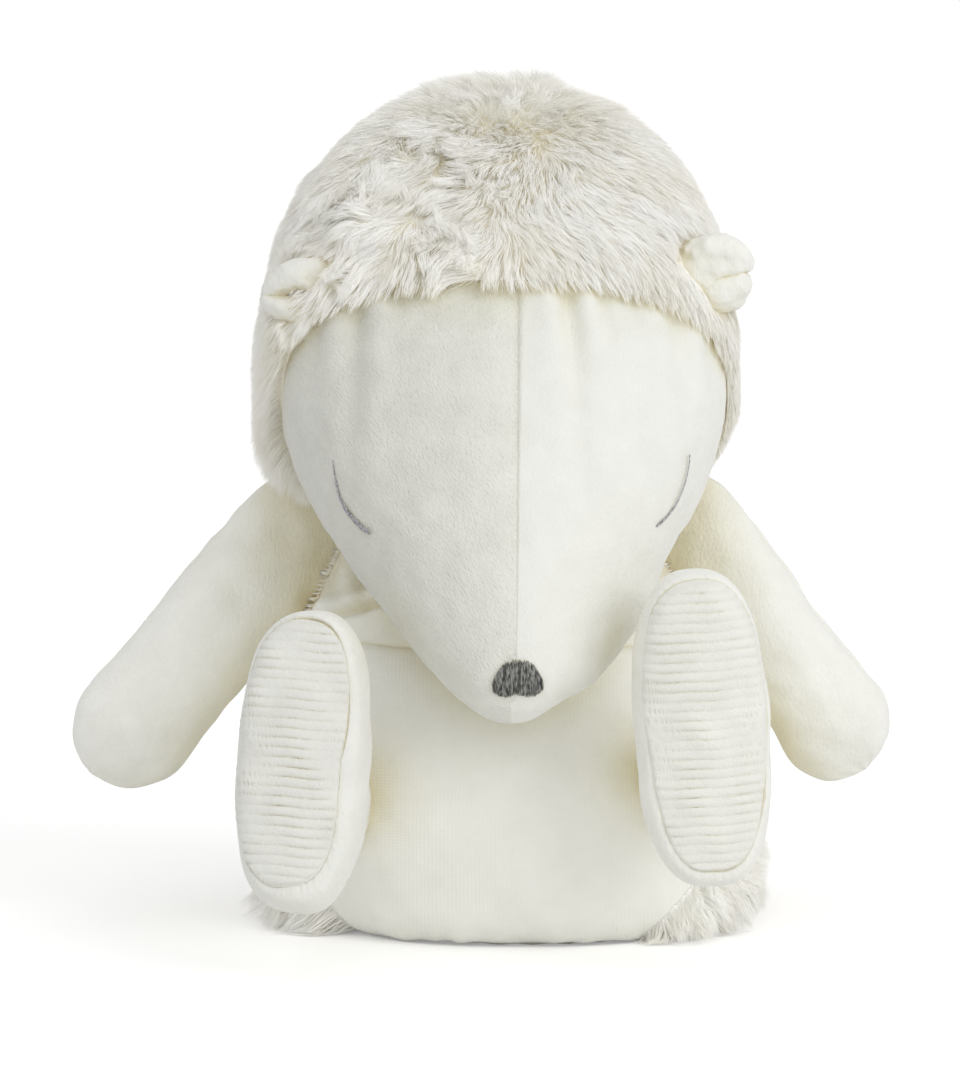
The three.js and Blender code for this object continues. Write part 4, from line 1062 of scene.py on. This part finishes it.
EAR_BEHIND = 0.006
EAR_STROKES = {
    ("left", "back"): [
        [(361, 296, -6.5, 1.6), (348, 287, -3, 3.0), (329, 276, 0, 4.6), (306, 272, 1, 5.0),
         (286, 279, 0, 4.8), (272, 291, -2, 3.8)],
        [(292, 277, 3.6, 1.9), (306, 285, 4.4, 2.0), (322, 291, 3.0, 1.7), (340, 292, -0.5, 1.5)]],
    ("left", "front"): [
        [(269, 301, -1.5, 3.4), (285, 308, 1, 4.2), (304, 310, 2, 4.4), (323, 305, 1, 4.0),
         (343, 298, -2.5, 3.0)]],
    ("right", "back"): [
        [(660, 262, -7.5, 1.8), (680, 257, -4.5, 3.4), (701, 251, -1, 4.6), (722, 249, 0, 4.9),
         (736, 255, -1, 4.5), (743, 264, -2.5, 3.6)],
        [(664, 268, -6, 3.2), (684, 269, -2, 4.0), (708, 268, 0, 4.2), (732, 266, -0.5, 3.8)],
        [(682, 279, -3, 4.6), (697, 281, -1, 5.0), (711, 280, -1.5, 4.2), (721, 279, -3, 3.0)]],
    ("right", "front"): [
        [(676, 287, -7, 3.6), (696, 292, -3.4, 5.2), (718, 291, -2, 6.0), (737, 284, -2.4, 5.2)],
        [(700, 303, -5, 3.0), (720, 303, -4, 3.6), (736, 298, -4, 3.4)]]}


def stroke(places, plane, count=22):
    """Places along a smooth line through the named ones, with a radius at each."""
    named = np.array([[*at_px(px, py, plane - lift), r] for px, py, lift, r in places])
    t = np.linspace(0, len(named) - 1, count)
    i = np.minimum(t.astype(int), len(named) - 2)
    f = (t - i)[:, None]
    ext = np.vstack([2 * named[0] - named[1], named, 2 * named[-1] - named[-2]])
    out = sum(weight * ext[i + k] for k, weight in enumerate(cubic(f)))
    return out[:, :3], out[:, 3]


def ball():
    """The corners and faces of a small round ball of radius one."""
    made = bmesh.new()
    bmesh.ops.create_icosphere(made, subdivisions=2, radius=1.0)
    corners = np.array([v.co[:] for v in made.verts])
    faces = np.array([[v.index for v in f.verts] for f in made.faces])
    made.free()
    return corners, faces


def soft_body(name, strokes, voxel=0.8, smooth=7):
    """One soft closed piece round several strokes: balls along them, joined by a remesh and smoothed."""
    corners, faces = ball()
    balls = [c + corners * r for centres, radii in strokes for c, r in zip(centres, radii)]
    tris = [faces + k * len(corners) for k in range(len(balls))]
    core = mesh_object(name + "_core", np.vstack(balls), tris=np.vstack(tris))
    remesh = core.modifiers.new("join", "REMESH")
    remesh.mode, remesh.voxel_size = "VOXEL", voxel * MM
    soften = core.modifiers.new("soften", "SMOOTH")
    soften.factor, soften.iterations = 0.5, smooth
    me = bpy.data.meshes.new_from_object(core.evaluated_get(bpy.context.evaluated_depsgraph_get()))
    bpy.data.objects.remove(core)
    made = bpy.data.objects.new(name, me)
    me.name = name
    bpy.context.scene.collection.objects.link(made)
    v = places_in(me)
    v += places_in(me, "normal") * (0.22 * soft_noise(v, 6) + 0.12 * soft_noise(v, 2.6))[:, None]
    me.vertices.foreach_set("co", (v * MM).astype(np.float32).ravel())
    me.polygons.foreach_set("use_smooth", np.ones(len(me.polygons), bool))
    me.update()
    return made


all_ears = []
for (side, layer), lines in EAR_STROKES.items():
    node = f"ear_{side}_" + ("outer" if layer == "back" else "inner")
    plane = (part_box(f"ear_{side}_outer")[0][1] + EAR_BEHIND) / MM
    strokes = [stroke(line, plane) for line in lines]
    ear = soft_body(f"ear_{side}_{layer}", strokes)
    # The left ear wears the velour with painted shade, as it faces away from the light.
    dress(ear, VELOUR_SHADED if side == "left" else VELOUR, "head", [node])
    all_ears += strokes


# The hood's pile. It parts at a whorl over the brow, lies back and down from it, and stands
# off the mat by as much as the photograph's outline shows at each clock angle.

WHORL_PX, WHORL_SIZE, PART_PX, PART_SIZE = (512, 92), 62, 503, 22
HOOD_STRANDS = int(210000 * DENSITY)
NODS = (0, 10, 20)
STAND = {0: 1.6, 20: 2.6, 45: 3.0, 62: 4.4, 78: 7.6, 90: 8.4, 105: 7.4, 120: 3.4, 140: 3.2, 165: 4.6,
         185: 6.0, 200: 7.4, 214: 11.5, 226: 8, 245: 1.8, 300: 1.2, 335: 0.8, 360: 1.6}


def hood_pile():
    rng = np.random.default_rng(21)
    roots, pick, area = sample_grid(hood_v, hood_quads, HOOD_STRANDS, rng)
    rn = hood_n[hood_quads[pick, 0]]
    gx, gy = project(hood_v)
    from_whorl = np.where(hood_n[:, 1] < 0, (gx - WHORL_PX[0]) ** 2 + (gy - WHORL_PX[1]) ** 2, 1e9)
    px, py = project(roots)
    front = np.clip(-rn[:, 1], 0, 1)
    left_side = smoothstep(525, 470, px) * smoothstep(118, 160, py) * smoothstep(0.15, 0.5, front)
    at_whorl = bell(np.hypot(px - WHORL_PX[0], py - WHORL_PX[1]), WHORL_SIZE)
    near_seam = fade(HOOD_SEAM - (roots - head.o) @ head.l, 6.0)
    parted = np.tanh((px - PART_PX) / PART_SIZE) * 0.75 * smoothstep(150, 215, py) * front
    flow = unit(roots - hood_v[np.argmin(from_whorl)]) + X * parted[:, None]
    flow = unit(flow + Z * (-0.45 * (1 - front))[:, None])
    flow = flow + noise3(roots, 46) * 0.25 + noise3(roots, 13) * (0.08 + 0.75 * left_side)[:, None]
    flow = flow * (1 - 0.4 * at_whorl)[:, None] + Z * (0.5 * at_whorl)[:, None]
    flow = flow + noise3(roots, 10) * (0.8 * at_whorl)[:, None] + head_along * (1.5 * near_seam)[:, None]
    clock = np.degrees(np.arctan2(roots[:, 2] - NOD[2], roots[:, 0] - NOD[0])) % 360
    stand = np.interp(clock, list(STAND), list(STAND.values()))
    ruffled = 3.0 + (1.6 + 3.0 * soft_noise(roots, 13)) * left_side
    stand = stand * (1 - front) + ruffled * front
    stand = np.where(roots[:, 1] > 20, np.minimum(stand, 7.5), stand)
    length = np.maximum(stand * 1.5, 9.5) + 2.5 * left_side
    under = smoothstep(232, 245, clock) * smoothstep(345, 300, clock)
    length = length * (1 - 0.15 * near_seam) * (1 - 0.4 * under)
    height = np.clip(stand / length, 0.12, 0.85) * (1 - 0.25 * near_seam)
    low_left = smoothstep(190, 215, clock) * smoothstep(250, 235, clock)
    clump = np.clip(0.12 + 0.33 * left_side + 0.35 * low_left, 0, 1)
    nodded = [Nodded(arm, a * DEG) for arm in arms.values() for a in NODS]
    fur("hood_pile", roots, rn, flow, length, height, clump, area, rng, "head",
        clear_of([Hollowed(torso)] + nodded, all_ears))


hood_pile()


# Nose and eyes

NOSE_X, NOSE_Z, NOSE_TOP, NOSE_LOW, NOSE_NARROW, NOSE_FLARE = 1.8, -105.3, 5.7, -5.0, 4.3, 3.1
NOSE_THREADS, NOSE_LAYERS, NOSE_PLACES = 40, 2, 9
EYES_PX = {"left": [(335, 461), (337, 480), (341, 496), (348, 511), (358, 523), (371, 533)],
           "right": [(688, 455), (686, 472), (681, 490), (673, 506), (664, 518), (655, 526)]}
EYE_HALF_WIDTH = {"left": (0.36, 0.85), "right": (0.2, 0.36)}
EYE_LIFT, EYE_THREADS, EYE_PLACES, EYE_THREAD_RADIUS = 0.5, 62, 9, 0.19


def on_face(x, z, lift):
    """Places and normals on the front of the head, at x and at a height z over the nod centre."""
    u = np.linspace(hood_end * 0.6, head.last, 1200)
    r = spline(head.rows, u)
    out = []
    for xi, zi in zip(x, z):
        a = x_angle(r, np.full(len(u), xi))[:, None]
        p = head.grid(u, a)[:, 0]
        err = np.where(np.abs(xi) < r[:, 1] * 0.999, np.abs(p[:, 2] - (NOD[2] + zi)), 1e9)
        k = int(np.argmin(err))
        at, nrm = head.surface(u[k:k + 1], a[k:k + 1])
        out.append(np.concatenate([at[0, 0] + nrm[0, 0] * lift, nrm[0, 0]]))
    return np.array(out)


def seen_on_face(px, py):
    """The place and the normal of the head that the photograph shows at a pixel."""
    u = head.even(hood_end, head.last - 0.1, 260)
    p, nrm = head.surface(u, np.tile(np.linspace(-0.3, math.pi + 0.3, 320), (len(u), 1)))
    gx, gy = project(p)
    out = []
    for x, y in zip(px, py):
        away = ((gx - x) ** 2 + (gy - y) ** 2 + 1e6 * (nrm[..., 1] > 0)).ravel()
        best = np.argsort(away)[:4]
        share = 1 / (away[best] + 0.05)
        share = share / share.sum()
        out.append(np.concatenate([share @ p.reshape(-1, 3)[best], unit(share @ nrm.reshape(-1, 3)[best])]))
    return np.array(out)


def threads(name, paths, radii, sides=6):
    """One piece of closed tubes, which narrow at their ends, along several short paths."""
    verts, tris, quads = [], [], []
    base = 0
    for path, radius in zip(paths, radii):
        count = len(path)
        axis = unit(np.gradient(path, axis=0))
        side = unit(np.cross(axis, np.array([0.13, 0.9, 0.31])))[:, None]
        other = np.cross(axis, side[:, 0])[:, None]
        rad = radius * np.concatenate([[0.55], np.ones(count - 2), [0.55]])[:, None, None]
        c, s = np.cos(ring(sides))[:, None], np.sin(ring(sides))[:, None]
        verts.append((path[:, None] + (side * c + other * s) * rad).reshape(-1, 3))
        verts.append(np.stack([path[0] - axis[0] * radius * 0.5, path[-1] + axis[-1] * radius * 0.5]))
        quads.append(grid_faces(count, sides)[:, ::-1] + base)
        end = base + count * sides
        tris += [fan(end, base, sides), fan(end + 1, end - sides, sides)[:, ::-1]]
        base = end + 2
    return mesh_object(name, np.vstack(verts), np.vstack(quads), np.vstack(tris))


def nose():
    """Satin stitch in two layers, ragged at its top and deeper at the middle of each side."""
    rng = np.random.default_rng(5)
    paths, radii = [], []
    for layer in range(NOSE_LAYERS):
        for i in range(NOSE_THREADS):
            w = -1 + 2 * (i + 0.5 * (1 + layer)) / NOSE_THREADS
            top = NOSE_TOP - 1.6 * abs(w) ** 4 - rng.uniform(0, 1.5 + 0.9 * layer)
            low = NOSE_LOW - 0.55 * bell(abs(w) - 0.5, 0.3) + 0.35 * bell(w + 0.1, 0.14) + 1.5 * abs(w) ** 7
            z = np.linspace(top, low + rng.uniform(-0.2, 0.2), NOSE_PLACES)
            x = NOSE_X + w * (NOSE_NARROW + NOSE_FLARE * smoothstep(5.8, -2.2, z)) + rng.normal() * 0.08
            at = on_face(x, NOSE_Z + z, 0.22 + 0.34 * layer)
            puff = 0.5 * (1 - np.linspace(-1, 1, NOSE_PLACES) ** 2) * (1 - 0.6 * w ** 2)
            paths.append(at[:, :3] + at[:, 3:] * puff[:, None])
            radii.append(0.2 - 0.03 * layer)
    dress(threads("nose_satin", paths, radii), GREY_THREAD, "head", ["nose_embroidery"])


def eye(side):
    """Short stitches across the line of a closed lid, which widens towards its lower end."""
    rng = np.random.default_rng(len(side))
    key = np.array(EYES_PX[side], float)
    t, named = np.linspace(0, len(key) - 1, EYE_PLACES), np.arange(len(key))
    coarse = seen_on_face(np.interp(t, named, key[:, 0]), np.interp(t, named, key[:, 1]))
    fine = np.linspace(0, 1, EYE_THREADS)
    smooth = [np.polyval(np.polyfit(np.linspace(0, 1, EYE_PLACES), column, 4), fine) for column in coarse.T]
    line = np.stack(smooth, 1)
    centre, nrm = line[:, :3], unit(line[:, 3:])
    along = np.gradient(centre, axis=0)
    across, slant = unit(np.cross(nrm, along)), 0.22 * unit(along)
    thin, wide = EYE_HALF_WIDTH[side]
    half = thin + (wide - thin) * smoothstep(0.1, 0.75, fine)
    half = half * (1 - 0.45 * smoothstep(0.95, 1, fine)) * rng.uniform(0.75, 1.2, EYE_THREADS)
    w = np.linspace(-1, 1, 5)[:, None]
    paths = [centre[i] + (across[i] + slant[i]) * half[i] * w + nrm[i] * (EYE_LIFT + 0.3 * (1 - w ** 2))
             for i in range(EYE_THREADS)]
    satin = threads(f"eye_satin_{side}", paths, [EYE_THREAD_RADIUS] * EYE_THREADS)
    dress(satin, LILAC_THREAD, "head", [f"eye_stitch_{side}"])


nose()
for side in ("left", "right"):
    eye(side)


# Torso

CHEST_SEAM, SIDE_SEAM = 92.0, 9.0
HELD_CHEST, HELD_SIDE, HELD_LOW, HELD_TOP = 1.6, 2.4, 2.5, 135
CORNER_START, CORNER_SLOPE, LEFT_CORNER_START = 36.0, 46.0, 47.0
TORSO_ROWS, TORSO_COLS, BODY_GAP, FLOOR_GAP = 220, 440, 0.6, 0.25
# Creases of the yoke that the photograph shows: two pixels, depth and width.
NECK_CREASES = [((330, 617), (385, 600), 3.6, 1.7), ((303, 612), (334, 556), 3.6, 1.9),
                ((385, 600), (420, 596), 2.0, 1.6), ((620, 612), (650, 585), 2.0, 1.7)]
# Folds that gather the yoke towards the neck: place across, depth, width and lean.
NECK_FOLDS = [(-53, 3.0, 4.0, -0.35), (-44, 2.0, 3.0, -0.2), (-35, 1.6, 3.0, 0.1), (-24, 0.8, 3.0, 0.2),
              (24, 1.0, 3.0, 0), (33, 1.6, 3.2, 0), (42, 2.2, 3.5, 0.1), (51, 2.4, 4.0, 0.2)]


def torso_held(x, y, s, ang, p):
    """The torso's skin is held at its chest seam, its side seams and its two ends."""
    at_chest = (np.abs(p[..., 2] - CHEST_SEAM) < HELD_CHEST) & (p[..., 1] < -SIDE_SEAM)
    at_side = np.abs(p[..., 1] + SIDE_SEAM) < HELD_SIDE
    return at_chest | at_side | (p[..., 2] < HELD_LOW) | (p[..., 2] > HELD_TOP)


def past_corner(p):
    """How far a point lies past the line that cuts off a lower corner of the front, in millimetres."""
    out = np.where(p[:, 0] > 0, p[:, 0] - CORNER_START, -p[:, 0] - LEFT_CORNER_START)
    return out * math.sin(CORNER_SLOPE * DEG) - p[:, 2] * math.cos(CORNER_SLOPE * DEG)


def ripples(x, pitch, drift):
    """Small gathers across, from 0 to 1."""
    return 0.5 + 0.5 * np.sin(x / pitch + drift)


def torso_relief(p):
    """How far the front cloth stands off the torso, in millimetres."""
    x, z, front = p[:, 0], p[:, 2], smoothstep(5, 25, -p[:, 1])
    d = 0.55 * soft_noise(p, 40) + 0.16 * soft_noise(p, 12)
    d -= (1.5 * bell(z - CHEST_SEAM, 1.1) + 0.9 * bell(z - CHEST_SEAM, 5)) * front
    d += 1.2 * bell(z - CHEST_SEAM - 6, 3.2) * front * smoothstep(-22, -34, x)
    for at, deep, width, lean in NECK_FOLDS:
        fold = deep * bell(x - at - lean * (z - CHEST_SEAM), width)
        d -= fold * smoothstep(CHEST_SEAM + 5, CHEST_SEAM + 18, z) * front
    for first, last, deep, width in NECK_CREASES:
        off = px_distance(p, first, last)
        crease = 0.45 * deep * bell(off - 2.4 * width, 1.5 * width) - deep * bell(off, width)
        d += crease * front * smoothstep(CHEST_SEAM + 1, CHEST_SEAM + 4, z)
    d -= 0.45 * ripples(x, 1.9, 1.6 * soft_noise(p, 22)) * fade(z - 1.5, 5) * front
    d += 0.8 * bell(z - 7, 5) * front
    below_seam = fade(CHEST_SEAM - z, 6) * (z < CHEST_SEAM)
    return d - 0.22 * ripples(x, 1.7, soft_noise(p, 20)) * below_seam * front


def on_floor(p):
    """Points that keep clear of the hood and aren't under the floor."""
    p = push_from_sweep(p, BODY_GAP)
    p[:, 2] = np.maximum(p[:, 2], 0.0)
    return p


def torso_cloth():
    """The belly, the yoke and the back. It gives the back's places and faces."""
    low = float(torso.place_of(0.0))
    u = torso.even(low, torso.last - 0.02, TORSO_ROWS)
    ang = np.tile(ring(TORSO_COLS), (len(u), 1))
    p, nrm = torso.surface(u, ang)
    p = p + Skin(torso, low, torso.last - 0.1, *TORSO_SKIN, torso_held).at(u, ang)
    v, nrm = p.reshape(-1, 3), nrm.reshape(-1, 3)
    quads = faced(grid_faces(len(u), TORSO_COLS), v, nrm)
    front_v = on_floor(v + nrm * torso_relief(v)[:, None])
    centre = v[quads].mean(1)
    in_front = (-centre[:, 1] > SIDE_SEAM) & (past_corner(centre) < 0)
    above = centre[:, 2] > CHEST_SEAM
    belly = shell("belly_cloth", front_v, quads[in_front & ~above], nrm)
    yoke = shell("chest_cloth", front_v, quads[in_front & above], nrm)
    dress(belly, KNIT, "torso", ["belly_panel", "body_stuffing"])
    dress(yoke, VELOUR, "torso", ["chest_yoke"])
    past_side = -v[:, 1] - SIDE_SEAM
    from_seam = np.where(past_side > 0, np.abs(past_corner(v)), np.abs(past_side))
    rise = 0.2 + (2.6 + 0.6 * soft_noise(v, 15)) * smoothstep(0, 7, from_seam)
    back_v = on_floor(v + nrm * rise[:, None])
    back = shell("back_cloth", back_v, quads[~in_front], nrm, thickness=2.2)
    dress(back, MAT, "torso", ["back_fur_panel"])
    return back_v, quads[~in_front]


BASE_HALF_X, BASE_HALF_Y, BASE_SHIFT, BASE_LIFT = 57.5, 56.0, 2.0, 0.1
BASE_ROWS, BASE_COLS, BASE_GATHERS = 40, 160, 34


def base_cloth():
    """The flat base, gathered near its rim."""
    r, a = np.linspace(0.01, 1.0, BASE_ROWS)[:, None], ring(BASE_COLS)[None]
    x, y = BASE_HALF_X * r * np.cos(a) + BASE_SHIFT, BASE_HALF_Y * r * np.sin(a)
    z = BASE_LIFT + 0.5 * (0.5 + 0.5 * np.sin(a * BASE_GATHERS)) * smoothstep(0.86, 1, r)
    v = np.vstack([np.stack([x, y, z], -1).reshape(-1, 3), [[BASE_SHIFT, 0, BASE_LIFT]]])
    nrm = np.tile(-Z, (len(v), 1))
    middle = faced(fan(len(v) - 1, 0, BASE_COLS), v, nrm)
    base = shell("base_cloth", v, faced(grid_faces(BASE_ROWS, BASE_COLS), v, nrm), nrm, middle)
    dress(base, LINING, "torso", ["base_panel"])


def pouch():
    """The pouch and its pellets stay as the solids have them, and are only given their materials."""
    materials = {"pouch_upper_cloth": LINING, "pouch_lower_cloth": LINING, "pellet_fill": PELLETS}
    for node, material in materials.items():
        paint(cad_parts[node], material)


BACK_STRANDS, LOW_FRONT = int(110000 * DENSITY), 55


def back_pile(verts, quads):
    """The pile of the back. It hangs down, is combed away at the neck and is shaggy at the lower left."""
    rng = np.random.default_rng(31)
    roots, pick, area = sample_grid(verts, quads, BACK_STRANDS, rng)
    rn = normals_of(verts, quads)[quads[pick, 0]]
    at_neck, low = smoothstep(106, 132, roots[:, 2]), smoothstep(30, 12, roots[:, 2])
    low_left = smoothstep(42, 22, roots[:, 2]) * smoothstep(-20, -50, roots[:, 0])
    away = unit(roots * (X + Y))
    flow = -Z + rn * 0.2 + noise3(roots, 42) * 0.22 - X * (0.9 * low_left)[:, None]
    flow = flow + away * (1.3 * at_neck)[:, None]
    flow = unit(flow - rn * (flow * rn).sum(1)[:, None])
    stand = (6.8 + 1.5 * soft_noise(roots, 34) + 6.5 * low_left + 1.0 * low) * (1 - 0.6 * at_neck)
    length = np.maximum(stand * 1.6, 10)
    clump = 0.2 + 0.6 * np.maximum(low_left, low * 0.7)
    fur("back_pile", roots, rn, flow, length, np.clip(stand / length, 0.08, 0.8), clump, area, rng, "torso",
        clear_of([*arms.values(), *legs.values(), head], floor=FLOOR_GAP, low_front=LOW_FRONT))


back_v, back_quads = torso_cloth()
base_cloth()
pouch()
back_pile(back_v, back_quads)


# Arms

ARM_ROWS, ARM_COLS, ARM_GAP, ARM_TUCKS = 130, 90, 1.2, 12


def arm_held(x, y, s, ang, p):
    """An arm's skin is held at the shoulder and along the seams between its two panels."""
    return (s < 12) | (np.abs(np.sin(ang)) < 0.05)


def limb_blend(ob):
    """A limb's cloth has its place in the world baked into its mesh."""
    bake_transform(ob)


def arm(side):
    f = arms[side]
    u = np.concatenate([[0.02], f.even(0.06, f.last - 0.06, ARM_ROWS), [f.last - 0.02]])
    skin = Skin(f, 0.3, f.last - 0.15, *ARM_SKIN, arm_held)
    tip = spline(f.rows, u)[:, :1] / f.station.max()
    for part, first, filling in (("front", 0, [f"arm_{side}_stuffing"]), ("back", math.pi, [])):
        ang = np.tile(np.linspace(first, first + math.pi, ARM_COLS + 1), (len(u), 1))
        p, nrm = f.surface(u, ang)
        p = p + skin.at(u, ang)
        edge = np.minimum(*run_along(p, 1))
        d = 0.5 * soft_noise(p, 32) + 0.22 * soft_noise(p, 12) - 0.5 * bell(edge, 0.6) - 0.35 * fade(edge, 4)
        d -= 0.3 * (0.5 + 0.5 * np.sin(ang * ARM_TUCKS)) * smoothstep(0.88, 1.0, tip)
        ob = grid_shell(f"arm_{side}_{part}", p, nrm, d, clear=ARM_GAP)
        dress(ob, VELOUR_LIMB, None, [f"arm_{side}_{part}_panel", *filling])
        limb_blend(ob)


for side in arms:
    arm(side)


# Legs and feet. Each sole sits a little askew on its foot, so that the seam between it and
# the wall runs further in on one side: how far in, in millimetres, at clock angles round it.

ANKLE, SOLE_SEAM, RIB_PITCH, LIMB_CLOTH = 28.5, 58.0, 2.9, 1.5
THIGH_ROWS, THIGH_COLS, FOOT_ROWS, FOOT_COLS, WALL_ROWS, SOLE_ROWS = 60, 180, 420, 300, 90, 190
WALL_TUCKS, FOOT_GIVE = 41, 0.3
SEAM_IN = {
    "left": {0: 8.0, 60: 6.0, 100: 1.5, 140: -4.0, 190: -6.0, 225: -3.0, 270: 7.0, 320: 9.0, 360: 8.0},
    "right": {0: -2.5, 50: -3.5, 95: -3.0, 140: 1.0, 190: 3.2, 230: 5.0, 270: 5.8, 320: 2.0, 360: -2.5}}


def ring_shell(name, p, nrm, rise, closed_row=None):
    """A sheet that rises off a grid which goes all round, closed by a fan at one of its end rows."""
    m, n = p.shape[:2]
    grid = p + nrm * rise[..., None]
    v, normals, tris = grid.reshape(-1, 3), nrm.reshape(-1, 3), NO_TRIS
    if closed_row is not None:
        v = np.vstack([v, grid[closed_row].mean(0)])
        normals = np.vstack([normals, unit(nrm[closed_row].mean(0))])
        tris = faced(fan(m * n, (closed_row % m) * n, n), v, normals)
    return shell(name, v, faced(grid_faces(m, n), v, normals), normals, tris, LIMB_CLOTH)


def foot_held(x, y, s, ang, p):
    """A foot's skin is held at the ankle and at the seam of its sole."""
    return (s < ANKLE + 2) | (np.abs(s - SOLE_SEAM) < 1.2)


def thigh(side, f):
    u = f.even(0.05, float(f.place_of(ANKLE)), THIGH_ROWS)
    p, nrm = f.surface(u, np.tile(ring(THIGH_COLS), (len(u), 1)))
    d = -0.8 * bell(run_along(p, 0)[1], 1.0) + 0.35 * soft_noise(p, 20)
    ob = ring_shell(f"thigh_{side}", p, nrm, d, closed_row=0)
    dress(ob, VELOUR, None, [f"leg_{side}_sleeve"])
    limb_blend(ob)


def wall_relief(p, x, y, ang, run, left):
    """How far a foot's wall stands off the form, dipped at its two seams and puckered at the sole's."""
    tucks = ripples(ang * WALL_TUCKS, 1, 3 * soft_noise(p, 15))
    d = -0.3 * bell(left, 1.1) - 0.8 * bell(run, 1.0) + 0.4 * soft_noise(p, 24)
    return d - 0.2 * tucks * fade(left, 3.0) + 0.15 * bell(left - 4, 3)


def sole_relief(p, x, y, ang, run, left):
    """How far a sole's ribs stand off the form."""
    w = y - FOOT_RISE + 0.3 * np.sin(x / 8.0 + 1) + 0.12 * np.sin(x / 2.3)
    rib = np.abs(np.sin(math.pi * w / RIB_PITCH)) ** 0.45
    d = 0.7 * rib * (0.85 + 0.35 * soft_noise(p, 12)) * smoothstep(0.2, 1.4, run)
    return d + 0.3 * soft_noise(p, 26) - 0.3 * bell(run, 1.1) - 0.4


def foot(side, f, wall_look, sole_look):
    """A foot's wall and its sole. Both are read from one dense grid, to each side of the seam."""
    ankle = float(f.place_of(ANKLE))
    u = f.even(ankle, f.last - 0.01, FOOT_ROWS)
    ang = np.tile(ring(FOOT_COLS), (len(u), 1))
    p, nrm = f.surface(u, ang)
    p = p + Skin(f, ankle, f.last - 0.05, *FOOT_SKIN, foot_held, FOOT_GIVE).at(u, ang)
    dense = np.concatenate([p, nrm, np.stack(f.local(u, ang)[:2], -1)], -1)
    run = run_along(p, 0)[0]
    seam_row = np.argmin(np.abs(u - float(f.place_of(SOLE_SEAM))))
    clock = np.degrees(np.arctan2(dense[seam_row, :, 7] - FOOT_RISE, dense[seam_row, :, 6])) % 360
    seam = run[seam_row] + np.interp(clock, list(SEAM_IN[side]), list(SEAM_IN[side].values()))

    def part(name, start, end, rows_n, relief, closed_row):
        wanted = start + (end - start) * np.linspace(0, 1, rows_n)[:, None]
        got = resample(dense, run, wanted)
        at, normals = got[..., :3], unit(got[..., 3:6])
        d = relief(at, got[..., 6], got[..., 7], ang[:1], *run_along(at, 0))
        return ring_shell(f"{name}_{side}", at, normals, d, closed_row)

    wall = part("foot_side", run[0], seam, WALL_ROWS, wall_relief, None)
    dress(wall, wall_look, f"leg_{side}", [f"foot_{side}_wall"])
    sole = part("sole_knit", seam, run[-1], SOLE_ROWS, sole_relief, -1)
    dress(sole, sole_look, f"leg_{side}", [f"sole_{side}", f"leg_{side}_stuffing"])


# The left foot wears the velour and the sole knit with painted shade, as it faces away from the light.
for side, looks in (("left", (VELOUR_SHADED, RIB_SHADED)), ("right", (VELOUR, RIB))):
    thigh(side, legs[side])
    foot(side, legs[side], *looks)


# Floor, world and lamps

FLOOR_HALF, FLOOR_WHITE, FLOOR_GLOW = 9000.0, 0.92, 0.27
AMBIENT, BACKDROP = 0.66, 1.0


def lay_floor():
    """A matt floor that glows a little to the camera alone, so that it meets the white backdrop."""
    corners = FLOOR_HALF * np.array([[-1, -1, 0], [1, -1, 0], [1, 1, 0], [-1, 1, 0]])
    floor = mesh_object("floor", corners, np.array([[0, 1, 2, 3]]), smooth=False)
    look = Look("floor", (FLOOR_WHITE,) * 3, 1.0, specular=0.0)
    matt = look.shader.outputs["BSDF"]
    glow = look.add("Emission", Strength=FLOOR_GLOW).outputs["Emission"]
    glowing = look.add("AddShader", {0: matt, 1: glow}).outputs["Shader"]
    camera_ray = look.add("LightPath").outputs["Is Camera Ray"]
    chosen = look.add("MixShader", {"Fac": camera_ray, 1: matt, 2: glowing}).outputs["Shader"]
    look.links.new(chosen, look.nodes["Material Output"].inputs["Surface"])
    paint(floor, look.material)


def light_world():
    """A white backdrop to the camera and to glossy and transmitted rays, and a dimmer light for the rest."""
    world = bpy.data.worlds.new("world")
    bpy.context.scene.world = world
    tree = Tree(world)
    ambient = tree.nodes["Background"]
    set_values(ambient, {"Color": (1, 1, 1, 1), "Strength": AMBIENT})
    bright = tree.add("Background", Color=(1, 1, 1, 1), Strength=BACKDROP)
    path = tree.add("LightPath").outputs
    seen = path["Is Camera Ray"]
    for other in ("Is Glossy Ray", "Is Transmission Ray"):
        seen = tree.add("Math", {0: seen, 1: path[other]}, operation="MAXIMUM").outputs[0]
    backgrounds = {1: ambient.outputs["Background"], 2: bright.outputs["Background"]}
    chosen = tree.add("MixShader", {"Fac": seen, **backgrounds}).outputs["Shader"]
    tree.links.new(chosen, tree.nodes["World Output"].inputs["Surface"])


def sun(name, azimuth, elevation, strength, angle):
    """A soft sun. Azimuth 0 is in front, and positive is to the right of the photograph."""
    data = bpy.data.lights.new(name, "SUN")
    data.energy, data.angle = strength, angle * DEG
    ob = bpy.data.objects.new(name, data)
    bpy.context.scene.collection.objects.link(ob)
    a, e = azimuth * DEG, elevation * DEG
    to = Vector((math.sin(a) * math.cos(e), -math.cos(a) * math.cos(e), math.sin(e)))
    ob.rotation_mode = "QUATERNION"
    ob.rotation_quaternion = to.to_track_quat("Z", "Y")
    ob.location = to * 3


lay_floor()
light_world()
sun("key", 46, 26, 0.95, 40)
sun("low", -15, 5, 0.42, 80)
sun("top", 10, 75, 0.3, 60)

bpy.context.scene.view_settings.view_transform = "Standard"
bpy.context.scene.cycles.diffuse_bounces = 12

bpy.context.view_layer.update()
